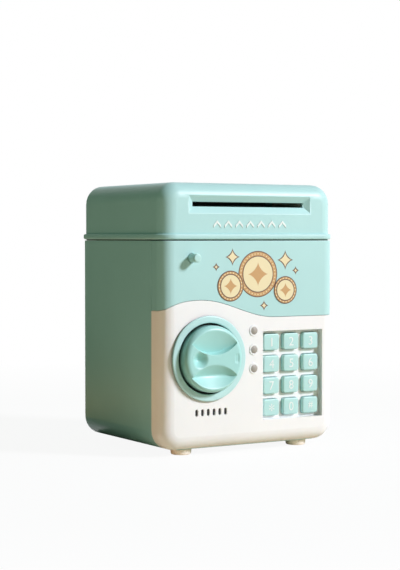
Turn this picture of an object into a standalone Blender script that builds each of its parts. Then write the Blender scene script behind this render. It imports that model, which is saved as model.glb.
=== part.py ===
"""Toy cash-machine savings bank: a money box with a keypad door, a dial lock and a powered banknote slot.

Units are metres, +Z is up and the front faces -Y. The origin is on the floor, under the middle of the object.
"""

import math

import bmesh
import bpy
from mathutils import Matrix, Vector

# Front of the door, from left to right
LEFT_MARGIN = 0.00665
RING_DIAMETER = 0.0575
LIGHT_STRIP = 0.01515
KEY_WIDTH = 0.0126
KEY_GAP_X = 0.00375
KEYPAD_MARGIN = 0.0022
RIGHT_MARGIN = 0.0110
KEY_COLUMNS = 3

# Front of the door, from the floor up
FOOT_HEIGHT = 0.0042
BELOW_KEYPAD = 0.0169
KEY_HEIGHT = 0.0112
KEY_GAP_Z = 0.00385
KEY_ROWS = 4
ABOVE_KEYPAD = 0.00965
UPPER_PANEL_HEIGHT = 0.0523
LID_GAP = 0.0008
LID_HEIGHT = 0.0381

# Front to back
DOOR_DEPTH = 0.0153
BODY_DEPTH = 0.1007

# Walls, roundings and clearances
WALL = 0.0025
CORNER_RADIUS = 0.0133
FRONT_RADIUS = 0.0090
BACK_RADIUS = 0.0050
CLEARANCE = 0.0003
BITE = 0.0005
ROUND_STEPS = 7
SLIVER = 0.0001
MARKER_SIZE = 0.0100

# Lid
LID_INSET = 0.0007
LID_FRONT_RADIUS = 0.0100
BEAD_HEIGHT = 0.0038
BEAD_PROUD = 0.0011
BEAD_ROUND = 0.0011
SLOT_WIDTH = 0.0895
SLOT_HEIGHT = 0.0031
SLOT_BEVEL = 0.0045
SLOT_BEVEL_DEPTH = 0.0030
SLOT_ABOVE_LID_FOOT = 0.0236
COIN_SLOT_LENGTH = 0.0320
COIN_SLOT_WIDTH = 0.0036
COIN_SLOT_FROM_BACK = 0.0310

# Deck under the lid, with the banknote feed
DECK_THICKNESS = 0.0020
LEDGE_WIDTH = 0.0090
LEDGE_THICKNESS = 0.0025
CHEEK_THICKNESS = 0.0020
CHEEK_LENGTH = 0.0340
NOTE_SIDE_ROOM = 0.0006
ROLLER_RADIUS = 0.0050
ROLLER_LENGTH = 0.0560
IDLER_RADIUS = 0.0040
AXLE_RADIUS = 0.0020
NOTE_GAP = 0.0005
GEAR_MODULE = 0.0008
GEAR_TEETH = 30
PINION_TEETH = 10
GEAR_WIDTH = 0.0040
MOTOR_LENGTH = 0.0250
MOTOR_WIDTH = 0.0155
MOTOR_HEIGHT = 0.0120
MOTOR_SHAFT_RADIUS = 0.0010
MOTOR_FROM_FRONT = 0.0055
GUIDE_THICKNESS = 0.0015
NOTE_DROP = 0.0140

# Dial lock
DIAL_RISE = 0.0608
RING_BORE = 0.0474
RING_PROUD = 0.0020
RING_WALL = 0.0013
RING_CHAMFER = 0.0008
RING_FLOOR_DEPTH = 0.0050
RING_FLOOR = 0.0015
KNOB_DIAMETER = 0.0447
KNOB_PROUD = 0.0090
KNOB_ROUND = 0.0035
KNOB_SKIRT = 0.0042
KNOB_HOLLOW_WALL = 0.0030
SCOOP_HALF_LENGTH = 0.0179
SCOOP_HALF_WIDTH = 0.0081
SCOOP_DEPTH = 0.0062
SCOOP_OFFSET = 0.0108
DIMPLE_RADIUS = 0.0054
DIMPLE_DEPTH = 0.0021
DIMPLE_OFFSET = 0.0113
SHAFT_RADIUS = 0.0040
SPIGOT_RADIUS = 0.0030
DISC_RADIUS = 0.0170
DISC_THICKNESS = 0.0020
DISC_RUNNING_GAP = 0.0012
NOTCH_WIDTH = 0.0044
PLUNGER_RADIUS = 0.0016
PLUNGER_TRAVEL = 0.0045
SOLENOID_WIDTH = 0.0140
SOLENOID_HEIGHT = 0.0200
TONGUE_WIDTH = 0.0100
TONGUE_THICKNESS = 0.0025
TONGUE_TIP_GAP = 0.0015
TONGUE_HEAD_RADIUS = 0.0042
KEEPER_THICKNESS = 0.0020
KEEPER_REACH = 0.0060
KEEPER_HEIGHT = 0.0180

# Keys, lights, speaker and button
KEY_SINK = 0.0020
KEY_CORNER = 0.0018
KEY_ROUND = 0.0008
KEY_FLANGE = 0.0008
KEY_FLANGE_THICKNESS = 0.0010
KEY_TRAVEL = 0.0015
RECESS_DEPTH = 0.0050
RECESS_WALL = 0.0015
MAT_THICKNESS = 0.0007
DOME_RADIUS = 0.0030
DOME_HEIGHT = 0.0006
BOARD_THICKNESS = 0.0015
LIGHT_RADIUS = 0.0026
LIGHT_PITCH = 0.0129
LIGHT_ABOVE_DIAL = 0.0046
LIGHT_PROUD = 0.0007
LIGHT_FLANGE = 0.0008
COLLAR_RADIUS = 0.0038
COLLAR_PROUD = 0.0005
SPEAKER_SLOTS = 6
SPEAKER_SLOT_PITCH = 0.00454
SPEAKER_SLOT_WIDTH = 0.0022
SPEAKER_SLOT_HEIGHT = 0.0047
SPEAKER_SLOT_CORNER = 0.00099
SPEAKER_BELOW_RING = 0.0074
SPEAKER_RIGHT_OF_DIAL = 0.0023
SPEAKER_RADIUS = 0.0094
SPEAKER_THICKNESS = 0.0055
SPEAKER_RIM = 0.0022
SPEAKER_CONE = 0.0008
MAGNET_RADIUS = 0.0056
BUTTON_FROM_LEFT = 0.0225
BUTTON_FROM_TOP = 0.0115
BUTTON_RADIUS = 0.0029
BUTTON_PROUD = 0.0080
BUTTON_TIP_ROUND = 0.0009
BUTTON_FLANGE = 0.0013
BUTTON_STEM = 0.0080
BUTTON_STEM_RADIUS = 0.0017
BUTTON_TRAVEL = 0.0015
SWITCH_SIZE = 0.0062

# Wave between the two door panels
WAVE_CREST_FROM_LEFT = 0.0295
WAVE_LEFT_DROP = 0.0076
WAVE_LEFT_POWER = 2.6
WAVE_FALL = 0.0126
WAVE_FALL_LENGTH = 0.0595
WAVE_STEPS = 9

# Back of the door
COVER_THICKNESS = 0.0020
SEAM_GAP = 0.0003
BOSS_RADIUS = 0.0032
BOSS_INSET = 0.0090
SCREW_RADIUS = 0.0012
SCREW_HEAD_RADIUS = 0.0026
SCREW_HEAD = 0.0017
SCREW_LENGTH = 0.0080
CELL_RADIUS = 0.00725
CELL_LENGTH = 0.0492
CELL_NUB_RADIUS = 0.00275
CELL_NUB = 0.0013
CELL_COUNT = 3
CONTACT_SPACE = 0.0028
BOX_WALL = 0.0013
BOX_FROM_RIGHT = 0.0240
BATTERY_COVER_THICKNESS = 0.0015
BATTERY_TAB = 0.0090

# Hinge
HINGE_RADIUS = 0.0030
PIN_RADIUS = 0.0012
HINGE_RELIEF = 0.0034
BODY_RELIEF = 0.0049
KNUCKLE_LENGTH = 0.0240
RELIEF_RISE = 0.0045
KNUCKLE_RISE = 0.0080

# Feet and sill
FOOT_RADIUS = 0.0075
FOOT_TAPER = 0.0006
FOOT_ROUND = 0.0012
FOOT_INSET_X = 0.0230
BACK_FOOT_INSET_X = 0.0350
FOOT_INSET_BACK = 0.0210
FOOT_PEG_RADIUS = 0.0025
SILL_REACH = 0.0084
SILL_MARGIN = 0.0012

# Sizes worked out from the ones above
KEYPAD_WIDTH = KEY_COLUMNS * KEY_WIDTH + (KEY_COLUMNS - 1) * KEY_GAP_X + 2 * KEYPAD_MARGIN
KEYPAD_HEIGHT = KEY_ROWS * KEY_HEIGHT + (KEY_ROWS - 1) * KEY_GAP_Z + 2 * KEYPAD_MARGIN
WIDTH = LEFT_MARGIN + RING_DIAMETER + LIGHT_STRIP + KEYPAD_WIDTH + RIGHT_MARGIN
DEPTH = DOOR_DEPTH + BODY_DEPTH
LEFT = -WIDTH / 2
RIGHT = WIDTH / 2
FRONT_Y = -(DEPTH + BEAD_PROUD - KNOB_PROUD) / 2
BACK_Y = FRONT_Y + DEPTH
SEAM_Y = FRONT_Y + DOOR_DEPTH
KEYPAD_LEFT = RIGHT - RIGHT_MARGIN - KEYPAD_WIDTH
KEYPAD_BOTTOM = FOOT_HEIGHT + BELOW_KEYPAD
KEYPAD_TOP = KEYPAD_BOTTOM + KEYPAD_HEIGHT
WAVE_Z = KEYPAD_TOP + ABOVE_KEYPAD
DOOR_TOP = WAVE_Z + UPPER_PANEL_HEIGHT
LID_FOOT = DOOR_TOP + LID_GAP
TOP = LID_FOOT + LID_HEIGHT
BODY_TOP = LID_FOOT - CLEARANCE
DIAL_X = LEFT + LEFT_MARGIN + RING_DIAMETER / 2
DIAL_Z = FOOT_HEIGHT + DIAL_RISE
LIGHT_X = (DIAL_X + RING_DIAMETER / 2 + KEYPAD_LEFT) / 2
HINGE_X = RIGHT - HINGE_RADIUS
COVER_FRONT = DOOR_DEPTH - SEAM_GAP - COVER_THICKNESS
COVER_BACK = DOOR_DEPTH - SEAM_GAP
CAVITY_BOTTOM = FOOT_HEIGHT + 2 * WALL + CLEARANCE
SILL_HALF_WIDTH = WIDTH / 2 - CORNER_RADIUS - SILL_MARGIN
SCREW_HOLE = SCREW_RADIUS + CLEARANCE
AXLE_HOLE = AXLE_RADIUS + CLEARANCE
MOTOR_HOLE = MOTOR_SHAFT_RADIUS + CLEARANCE
SHAFT_HOLE = SHAFT_RADIUS + CLEARANCE
RELIEF_BOTTOM = FOOT_HEIGHT + RELIEF_RISE

FINISHES = {
    "mint": ((0.42, 0.74, 0.68), 0.32, 0.0),
    "white": ((0.90, 0.89, 0.85), 0.35, 0.0),
    "cream": ((0.86, 0.80, 0.72), 0.50, 0.0),
    "grey lens": ((0.40, 0.37, 0.33), 0.20, 0.0),
    "rubber": ((0.10, 0.10, 0.10), 0.80, 0.0),
    "board": ((0.05, 0.25, 0.12), 0.50, 0.0),
    "black": ((0.03, 0.03, 0.03), 0.50, 0.0),
    "steel": ((0.62, 0.62, 0.64), 0.30, 1.0),
    "brass": ((0.75, 0.58, 0.28), 0.35, 1.0),
    "cell": ((0.20, 0.35, 0.22), 0.35, 0.0),
}


def clear_scene():
    for obj in list(bpy.data.objects):
        bpy.data.objects.remove(obj, do_unlink=True)


def new_collection(name):
    collection = bpy.data.collections.new(name)
    bpy.context.scene.collection.children.link(collection)
    return collection


clear_scene()
PARTS = new_collection("toy_cash_machine")
CUTTERS = new_collection("cutters")


def depth(value):
    """Y of a plane that lies this far behind the front of the door."""
    return FRONT_Y + value


def blank(name, bm):
    """Object made from a bmesh, in the cutters' collection until it is named a part."""
    bmesh.ops.recalc_face_normals(bm, faces=bm.faces)
    mesh = bpy.data.meshes.new(name)
    bm.to_mesh(mesh)
    bm.free()
    obj = bpy.data.objects.new(name, mesh)
    CUTTERS.objects.link(obj)
    obj.hide_render = True
    obj.display_type = "WIRE"
    return obj


def part(obj, finish, parent=None):
    """Make the object a sub-part with its own material, carried by an empty if one is given."""
    CUTTERS.objects.unlink(obj)
    PARTS.objects.link(obj)
    obj.hide_render = False
    obj.display_type = "TEXTURED"
    colour, roughness, metallic = FINISHES[finish]
    material = bpy.data.materials.new(obj.name + " " + finish)
    material.use_nodes = True
    shader = material.node_tree.nodes["Principled BSDF"]
    shader.inputs["Base Color"].default_value = (*colour, 1.0)
    shader.inputs["Roughness"].default_value = roughness
    shader.inputs["Metallic"].default_value = metallic
    obj.data.materials.append(material)
    obj.data.shade_smooth()
    obj.data.set_sharp_from_angle(angle=math.radians(35))
    if parent is not None:
        obj.parent = parent
        obj.matrix_parent_inverse = Matrix.Translation(-parent.location)
    return obj


def axis_empty(name, place, parent=None):
    """Empty that stands on a joint's axis and carries the pieces that move there."""
    empty = bpy.data.objects.new(name, None)
    empty.location = place
    empty.empty_display_size = MARKER_SIZE
    PARTS.objects.link(empty)
    if parent is not None:
        empty.parent = parent
        empty.matrix_parent_inverse = Matrix.Translation(-parent.location)
    return empty


def box(name, low, high):
    bm = bmesh.new()
    bmesh.ops.create_cube(bm, size=1.0)
    low = Vector(low)
    high = Vector(high)
    for vert in bm.verts:
        for i in range(3):
            vert.co[i] = high[i] if vert.co[i] > 0 else low[i]
    return blank(name, bm)


def tapered_box(name, front, back, y_front, y_back):
    """Box whose front and back faces are unlike rectangles (x0, x1, z0, z1)."""
    bm = bmesh.new()
    bmesh.ops.create_cube(bm, size=1.0)
    for vert in bm.verts:
        face = back if vert.co.y > 0 else front
        vert.co = (
            face[1] if vert.co.x > 0 else face[0],
            y_back if vert.co.y > 0 else y_front,
            face[3] if vert.co.z > 0 else face[2],
        )
    return blank(name, bm)


AXIS_TURN = {
    "X": Matrix(((0, 0, 1), (1, 0, 0), (0, 1, 0))).to_4x4(),
    "Y": Matrix(((1, 0, 0), (0, 0, -1), (0, 1, 0))).to_4x4(),
    "Z": Matrix.Identity(4),
}


def cylinder(name, base, axis, radius, length, steps=24):
    """Cylinder from its base point along +X, +Y or +Z."""
    turn = {
        "X": Matrix.Rotation(math.pi / 2, 4, "Y"),
        "Y": Matrix.Rotation(-math.pi / 2, 4, "X"),
        "Z": Matrix.Identity(4),
    }
    bm = bmesh.new()
    lift = Matrix.Translation((0, 0, length / 2))
    bmesh.ops.create_cone(bm, cap_ends=True, segments=steps, radius1=radius, radius2=radius, depth=length,
                          matrix=Matrix.Translation(base) @ turn[axis] @ lift)
    return blank(name, bm)


def prism(name, outline, axis, low, high):
    """Flat outline extruded along an axis. The outline is (x, z) for Y, (y, z) for X and (x, y) for Z."""
    curve = bpy.data.curves.new(name, "CURVE")
    curve.dimensions = "2D"
    curve.fill_mode = "BOTH"
    curve.extrude = (high - low) / 2
    spline = curve.splines.new("POLY")
    spline.points.add(len(outline) - 1)
    for point, (u, v) in zip(spline.points, outline):
        point.co = (u, v, 0, 1)
    spline.use_cyclic_u = True
    source = bpy.data.objects.new(name, curve)
    bpy.context.scene.collection.objects.link(source)
    graph = bpy.context.evaluated_depsgraph_get()
    mesh = bpy.data.meshes.new_from_object(source.evaluated_get(graph))
    bpy.data.objects.remove(source, do_unlink=True)
    bm = bmesh.new()
    bm.from_mesh(mesh)
    bpy.data.meshes.remove(mesh)
    bmesh.ops.remove_doubles(bm, verts=bm.verts, dist=1e-7)
    bmesh.ops.dissolve_limit(bm, angle_limit=1e-3, verts=bm.verts, edges=bm.edges)
    middle = (low + high) / 2
    shift = {"X": (middle, 0, 0), "Y": (0, middle, 0), "Z": (0, 0, middle)}[axis]
    bmesh.ops.transform(bm, matrix=Matrix.Translation(shift) @ AXIS_TURN[axis], verts=bm.verts)
    return blank(name, bm)


def turned(name, profile, place, axis, steps=32, closed=False):
    """Profile of (radius, height) points turned round an axis: heights run along X, along -Y or along Z."""
    bm = bmesh.new()
    verts = [bm.verts.new((radius, 0, height)) for radius, height in profile]
    for first, second in zip(verts, verts[1:]):
        bm.edges.new((first, second))
    if closed:
        bm.edges.new((verts[-1], verts[0]))
    mesh = bpy.data.meshes.new(name)
    bm.to_mesh(mesh)
    bm.free()
    obj = bpy.data.objects.new(name, mesh)
    CUTTERS.objects.link(obj)
    obj.hide_render = True
    obj.display_type = "WIRE"
    obj.matrix_world = Matrix.Translation(place) @ AXIS_TURN[axis]
    screw = obj.modifiers.new("turn", "SCREW")
    screw.axis = "Z"
    screw.steps = steps
    screw.render_steps = steps
    screw.use_merge_vertices = True
    screw.merge_threshold = 1e-6
    return obj


def cluster(name, pieces):
    """One object that holds several separate pieces, used as a single cutter."""
    bm = bmesh.new()
    for piece in pieces:
        mesh = piece.data
        mesh.transform(piece.matrix_world)
        bm.from_mesh(mesh)
        bpy.data.objects.remove(piece, do_unlink=True)
    return blank(name, bm)


def combine(obj, operation, pieces):
    for piece in pieces:
        modifier = obj.modifiers.new(piece.name, "BOOLEAN")
        modifier.operation = operation
        modifier.solver = "EXACT"
        modifier.object = piece


def subtract(obj, *pieces):
    combine(obj, "DIFFERENCE", pieces)


def unite(obj, *pieces):
    combine(obj, "UNION", pieces)


def round_edges(obj, width, share, steps=ROUND_STEPS):
    """Bevel the edges for which share(edge ends) gives a part of the width."""
    mesh = obj.data
    weights = mesh.attributes.new("bevel_weight_edge", "FLOAT", "EDGE")
    for edge in mesh.edges:
        ends = [mesh.vertices[i].co for i in edge.vertices]
        weights.data[edge.index].value = share(*ends)
    bevel = obj.modifiers.new("rounding", "BEVEL")
    bevel.width = width
    bevel.segments = steps
    bevel.limit_method = "WEIGHT"
    bevel.use_clamp_overlap = False


def on_plane(axis, value):
    """Test for edges that lie in a plane."""
    return lambda a, b: abs(a[axis] - value) < 1e-6 and abs(b[axis] - value) < 1e-6


def arc(cx, cy, radius, start, end, steps=ROUND_STEPS):
    points = []
    for i in range(steps + 1):
        angle = math.radians(start + (end - start) * i / steps)
        points.append((cx + radius * math.cos(angle), cy + radius * math.sin(angle)))
    return points


def tub_outline(half_width, bottom, top, corner):
    """Front view of the case: round lower corners and a square top."""
    points = [(-half_width, top)]
    points += arc(-half_width + corner, bottom + corner, corner, 180, 270)
    points += arc(half_width - corner, bottom + corner, corner, 270, 360)
    points.append((half_width, top))
    return points


def lid_outline(half_width, bottom, top, corner):
    """Front view of the lid: round upper corners and a square foot."""
    points = [(half_width, bottom)]
    points += arc(half_width - corner, top - corner, corner, 0, 90)
    points += arc(-half_width + corner, top - corner, corner, 90, 180)
    points.append((-half_width, bottom))
    return points


def rounded_rectangle(low, high, near_corner, far_corner=None, steps=ROUND_STEPS):
    """Rectangle with round corners, of one radius on its low side and one on its high side."""
    far_corner = near_corner if far_corner is None else far_corner
    points = arc(low[0] + near_corner, low[1] + near_corner, near_corner, 180, 270, steps)
    points += arc(high[0] - near_corner, low[1] + near_corner, near_corner, 270, 360, steps)
    points += arc(high[0] - far_corner, high[1] - far_corner, far_corner, 0, 90, steps)
    points += arc(low[0] + far_corner, high[1] - far_corner, far_corner, 90, 180, steps)
    return points


def wave_height(x):
    """Height of the line between the door's panels."""
    crest_x = LEFT + WAVE_CREST_FROM_LEFT
    crest_z = WAVE_Z + WAVE_FALL
    if x < crest_x:
        return crest_z - WAVE_LEFT_DROP * ((crest_x - x) / WAVE_CREST_FROM_LEFT) ** WAVE_LEFT_POWER
    turn = min((x - crest_x) / WAVE_FALL_LENGTH, 1.0)
    return WAVE_Z + WAVE_FALL * (1 + math.cos(math.pi * turn)) / 2


def wave_line(shift):
    crest_x = LEFT + WAVE_CREST_FROM_LEFT
    xs = [LEFT + WAVE_CREST_FROM_LEFT * i / WAVE_STEPS for i in range(WAVE_STEPS + 1)]
    xs += [crest_x + WAVE_FALL_LENGTH * i / (2 * WAVE_STEPS) for i in range(1, 2 * WAVE_STEPS + 1)]
    line = [(x, wave_height(x) + shift) for x in xs]
    line[0] = (line[0][0] - WALL, line[0][1])
    return line + [(RIGHT + WALL, WAVE_Z + shift)]


# Corners of one tooth: share of the pitch angle, and rise from the pitch circle in modules
TOOTH_FORM = ((-0.30, -1.25), (-0.12, 0.85), (0.12, 0.85), (0.30, -1.25))


def gear_outline(teeth, centre, phase):
    """Straight-sided teeth round a pitch circle; one tooth's middle points along the phase angle."""
    pitch_radius = GEAR_MODULE * teeth / 2
    pitch = 2 * math.pi / teeth
    points = []
    for tooth in range(teeth):
        for share, rise in TOOTH_FORM:
            angle = phase + pitch * (tooth + share)
            radius = pitch_radius + rise * GEAR_MODULE
            points.append((centre[0] + radius * math.cos(angle), centre[1] + radius * math.sin(angle)))
    return points


HEAD_TO_BACK = Matrix.Rotation(-math.pi / 2, 4, "X")
HEAD_DOWN = Matrix.Rotation(math.pi, 4, "X")


def screw(name, place, facing, length=SCREW_LENGTH, head=SCREW_HEAD_RADIUS):
    """Pan-head screw: the underside of its head is at the place and its head faces the given way."""
    profile = [(0, SCREW_HEAD), (head - SCREW_HEAD / 2, SCREW_HEAD), (head, SCREW_HEAD / 2), (head, 0),
               (SCREW_RADIUS, 0), (SCREW_RADIUS, -length), (0, -length)]
    obj = turned(name, profile, place, "Z", 8)
    obj.matrix_world = Matrix.Translation(place) @ facing
    return obj


def four_places(x, near, far, names):
    """Left and right places at two distances, under names for the near pair and then the far pair."""
    spots = ((-x, near), (x, near), (-x, far), (x, far))
    return dict(zip(names, spots))


FRONT_AND_BACK = ("front_left", "front_right", "back_left", "back_right")
LOWER_AND_UPPER = ("lower_left", "lower_right", "upper_left", "upper_right")


def lid_screw_places():
    x = WIDTH / 2 - WALL - LEDGE_WIDTH / 2
    front = SEAM_Y + BODY_RELIEF + LEDGE_WIDTH
    back = BACK_Y - WALL - LEDGE_WIDTH
    return four_places(x, front, back, FRONT_AND_BACK)


def cover_screw_places():
    x = WIDTH / 2 - WALL - BOSS_INSET
    low = CAVITY_BOTTOM + 2 * BOSS_RADIUS
    high = DOOR_TOP - WALL - 2 * BOSS_RADIUS
    return four_places(x, low, high, LOWER_AND_UPPER)


def foot_places():
    x = WIDTH / 2 - FOOT_INSET_X
    back_x = WIDTH / 2 - BACK_FOOT_INSET_X
    back = BACK_Y - FOOT_INSET_BACK
    spots = ((-x, SEAM_Y), (x, SEAM_Y), (-back_x, back), (back_x, back))
    return dict(zip(FRONT_AND_BACK, spots))


def key_places():
    """Centre of each key's face, row by row from the top."""
    names = ["1", "2", "3", "4", "5", "6", "7", "8", "9", "star", "0", "hash"]
    places = {}
    for i, name in enumerate(names):
        row, column = divmod(i, KEY_COLUMNS)
        x = KEYPAD_LEFT + KEYPAD_MARGIN + KEY_WIDTH / 2 + column * (KEY_WIDTH + KEY_GAP_X)
        z = KEYPAD_TOP - KEYPAD_MARGIN - KEY_HEIGHT / 2 - row * (KEY_HEIGHT + KEY_GAP_Z)
        places["key_" + name] = (x, z)
    return places


def light_places():
    middle = DIAL_Z + LIGHT_ABOVE_DIAL
    return {"light_top": middle + LIGHT_PITCH, "light_middle": middle, "light_bottom": middle - LIGHT_PITCH}


def knuckle_spans():
    """Heights of the lower and upper body knuckles and of the door's knuckle between them."""
    low = FOOT_HEIGHT + KNUCKLE_RISE
    high = DOOR_TOP - WALL
    lower = (low, low + KNUCKLE_LENGTH)
    upper = (high - KNUCKLE_LENGTH, high)
    return lower, upper, (lower[1] + CLEARANCE, upper[0] - CLEARANCE)


def hinge_bore(name):
    return cylinder(name, (HINGE_X, SEAM_Y, 0), "Z", PIN_RADIUS + CLEARANCE, TOP, 10)


def build_body():
    outline = tub_outline(WIDTH / 2, FOOT_HEIGHT, BODY_TOP, CORNER_RADIUS)
    body = prism("body_shell", outline, "Y", SEAM_Y, BACK_Y)
    back = on_plane(1, BACK_Y)
    top = on_plane(2, BODY_TOP)
    round_edges(body, BACK_RADIUS, lambda a, b: 1.0 if back(a, b) and not top(a, b) else 0.0)
    inside = tub_outline(WIDTH / 2 - WALL, FOOT_HEIGHT + WALL, BODY_TOP + WALL, CORNER_RADIUS - WALL)
    hollow = prism("body_hollow", inside, "Y", SEAM_Y - WALL, BACK_Y - WALL)
    inner_back = on_plane(1, BACK_Y - WALL)
    round_edges(hollow, BACK_RADIUS - WALL, lambda a, b: 1.0 if inner_back(a, b) else 0.0, 3)
    relief = box("body_hinge_relief", (HINGE_X - HINGE_RELIEF, SEAM_Y - WALL, RELIEF_BOTTOM),
                 (RIGHT + WALL, SEAM_Y + BODY_RELIEF, BODY_TOP + WALL))
    subtract(body, hollow, relief)

    additions = [box("sill", (-SILL_HALF_WIDTH, SEAM_Y - SILL_REACH, FOOT_HEIGHT),
                     (SILL_HALF_WIDTH, SEAM_Y + WALL, FOOT_HEIGHT + WALL))]
    inner = WIDTH / 2 - WALL
    ledge_low = DOOR_TOP - LEDGE_THICKNESS
    for side, sign in (("left", -1), ("right", 1)):
        x = sorted((sign * (inner + BITE), sign * (inner - LEDGE_WIDTH)))
        additions.append(box("ledge_" + side, (x[0], SEAM_Y + BODY_RELIEF + BITE, ledge_low),
                             (x[1], BACK_Y - WALL + BITE, DOOR_TOP)))
    lower, upper, _ = knuckle_spans()
    for label, (low, high) in (("lower", lower), ("upper", upper)):
        foot = (HINGE_X, SEAM_Y, low)
        additions.append(cylinder("body_knuckle_" + label, foot, "Z", HINGE_RADIUS, high - low, 16))
        additions.append(box("body_web_" + label, (HINGE_X - HINGE_RADIUS, SEAM_Y, low),
                             (HINGE_X, SEAM_Y + BODY_RELIEF + BITE, high)))
        additions.append(box("body_rib_" + label, (HINGE_X - HINGE_RADIUS, SEAM_Y + BODY_RELIEF, low),
                             (inner + BITE, SEAM_Y + BODY_RELIEF + WALL, high)))
    front = SEAM_Y + CLEARANCE
    additions.append(box("keeper", (-inner - BITE, front, DIAL_Z - KEEPER_HEIGHT / 2),
                         (-inner + KEEPER_REACH, front + KEEPER_THICKNESS, DIAL_Z + KEEPER_HEIGHT / 2)))
    unite(body, *additions)

    peg_hole = FOOT_PEG_RADIUS + CLEARANCE
    holes = [cylinder("peg_hole_" + name, (x, y, 0), "Z", peg_hole, 2 * FOOT_HEIGHT + WALL, 12)
             for name, (x, y) in foot_places().items()]
    holes += [cylinder("ledge_hole_" + name, (x, y, ledge_low - WALL), "Z", SCREW_HOLE,
                       LEDGE_THICKNESS + 2 * WALL, 8) for name, (x, y) in lid_screw_places().items()]
    subtract(body, hinge_bore("body_pin_bore"), cluster("body_holes", holes))
    part(body, "mint")

    low = lower[0] + CLEARANCE
    length = upper[1] - CLEARANCE - low
    part(cylinder("hinge_pin", (HINGE_X, SEAM_Y, low), "Z", PIN_RADIUS, length, 10), "steel")

    for name, (x, y) in foot_places().items():
        seat = FOOT_HEIGHT - CLEARANCE
        profile = [(0, FOOT_HEIGHT + WALL - CLEARANCE), (FOOT_PEG_RADIUS, FOOT_HEIGHT + WALL - CLEARANCE),
                   (FOOT_PEG_RADIUS, seat), (FOOT_RADIUS, seat), (FOOT_RADIUS - FOOT_TAPER, FOOT_ROUND),
                   (FOOT_RADIUS - FOOT_TAPER - FOOT_ROUND, 0), (0, 0)]
        part(turned("foot_" + name, profile, (x, y, 0), "Z", 16), "cream")


def build_lid():
    half = WIDTH / 2 - LID_INSET
    front = FRONT_Y + LID_INSET
    rear = BACK_Y - LID_INSET
    lid = prism("top_cover", lid_outline(half, LID_FOOT, TOP, CORNER_RADIUS), "Y", front, rear)
    foot = on_plane(2, LID_FOOT)
    at_front = on_plane(1, front)
    at_rear = on_plane(1, rear)

    def share(a, b):
        if foot(a, b):
            return 0.0
        if at_front(a, b):
            return 1.0
        return BACK_RADIUS / LID_FRONT_RADIUS if at_rear(a, b) else 0.0

    round_edges(lid, LID_FRONT_RADIUS, share)
    reach = BEAD_PROUD
    plan = rounded_rectangle((LEFT - reach, FRONT_Y - reach), (RIGHT + reach, BACK_Y + reach),
                             LID_FRONT_RADIUS + reach + LID_INSET, BACK_RADIUS + reach + LID_INSET)
    bead = prism("bead", plan, "Z", LID_FOOT, LID_FOOT + BEAD_HEIGHT)
    top = on_plane(2, LID_FOOT + BEAD_HEIGHT)
    round_edges(bead, BEAD_ROUND, lambda a, b: 1.0 if foot(a, b) or top(a, b) else 0.0, 2)

    slot_z = LID_FOOT + SLOT_ABOVE_LID_FOOT
    slot_half = SLOT_WIDTH / 2
    slot_low = slot_z - SLOT_HEIGHT / 2
    slot_high = slot_z + SLOT_HEIGHT / 2
    frame_x = slot_half + SLOT_BEVEL
    frame_z = SLOT_HEIGHT / 2 + SLOT_BEVEL
    block = box("slot_block", (-frame_x - WALL, front + WALL - BITE, slot_z - frame_z - WALL / 2),
                (frame_x + WALL, front + SLOT_BEVEL_DEPTH + WALL, slot_z + frame_z + WALL / 2))
    hollow = prism("lid_hollow", lid_outline(half - WALL, LID_FOOT - WALL, TOP - WALL, CORNER_RADIUS - WALL),
                   "Y", front + WALL, rear - WALL)
    inner_front = on_plane(1, front + WALL)
    open_foot = on_plane(2, LID_FOOT - WALL)
    round_edges(hollow, LID_FRONT_RADIUS - WALL,
                lambda a, b: 1.0 if inner_front(a, b) and not open_foot(a, b) else 0.0, 4)
    unite(lid, bead)
    subtract(lid, hollow)

    deck_top = LID_FOOT - CLEARANCE + DECK_THICKNESS
    to_wall = LEDGE_WIDTH / 2 - LID_INSET + BITE
    seat = deck_top + CLEARANCE
    bosses = [cylinder("lid_boss_" + name, (x, y, seat), "Z", to_wall, TOP - CORNER_RADIUS - seat, 16)
              for name, (x, y) in lid_screw_places().items()]
    pilots = [cylinder("lid_pilot_" + name, (x, y, 0), "Z", SCREW_HOLE, deck_top + SCREW_LENGTH, 8)
              for name, (x, y) in lid_screw_places().items()]
    unite(lid, block, *bosses)
    funnel = tapered_box("slot_funnel", (-frame_x, frame_x, slot_z - frame_z, slot_z + frame_z),
                         (-slot_half, slot_half, slot_low, slot_high), front, front + SLOT_BEVEL_DEPTH)
    slot = box("note_slot", (-slot_half, front, slot_low),
               (slot_half, front + SLOT_BEVEL_DEPTH + 2 * WALL, slot_high))
    coin_y = BACK_Y - COIN_SLOT_FROM_BACK
    coin = prism("coin_slot", rounded_rectangle((-COIN_SLOT_LENGTH / 2, coin_y - COIN_SLOT_WIDTH / 2),
                                                (COIN_SLOT_LENGTH / 2, coin_y + COIN_SLOT_WIDTH / 2),
                                                COIN_SLOT_WIDTH / 2 - SLIVER, steps=3),
                 "Z", TOP - 2 * WALL, TOP + WALL)
    subtract(lid, funnel, slot, coin, cluster("lid_pilots", pilots))
    part(lid, "mint")


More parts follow.
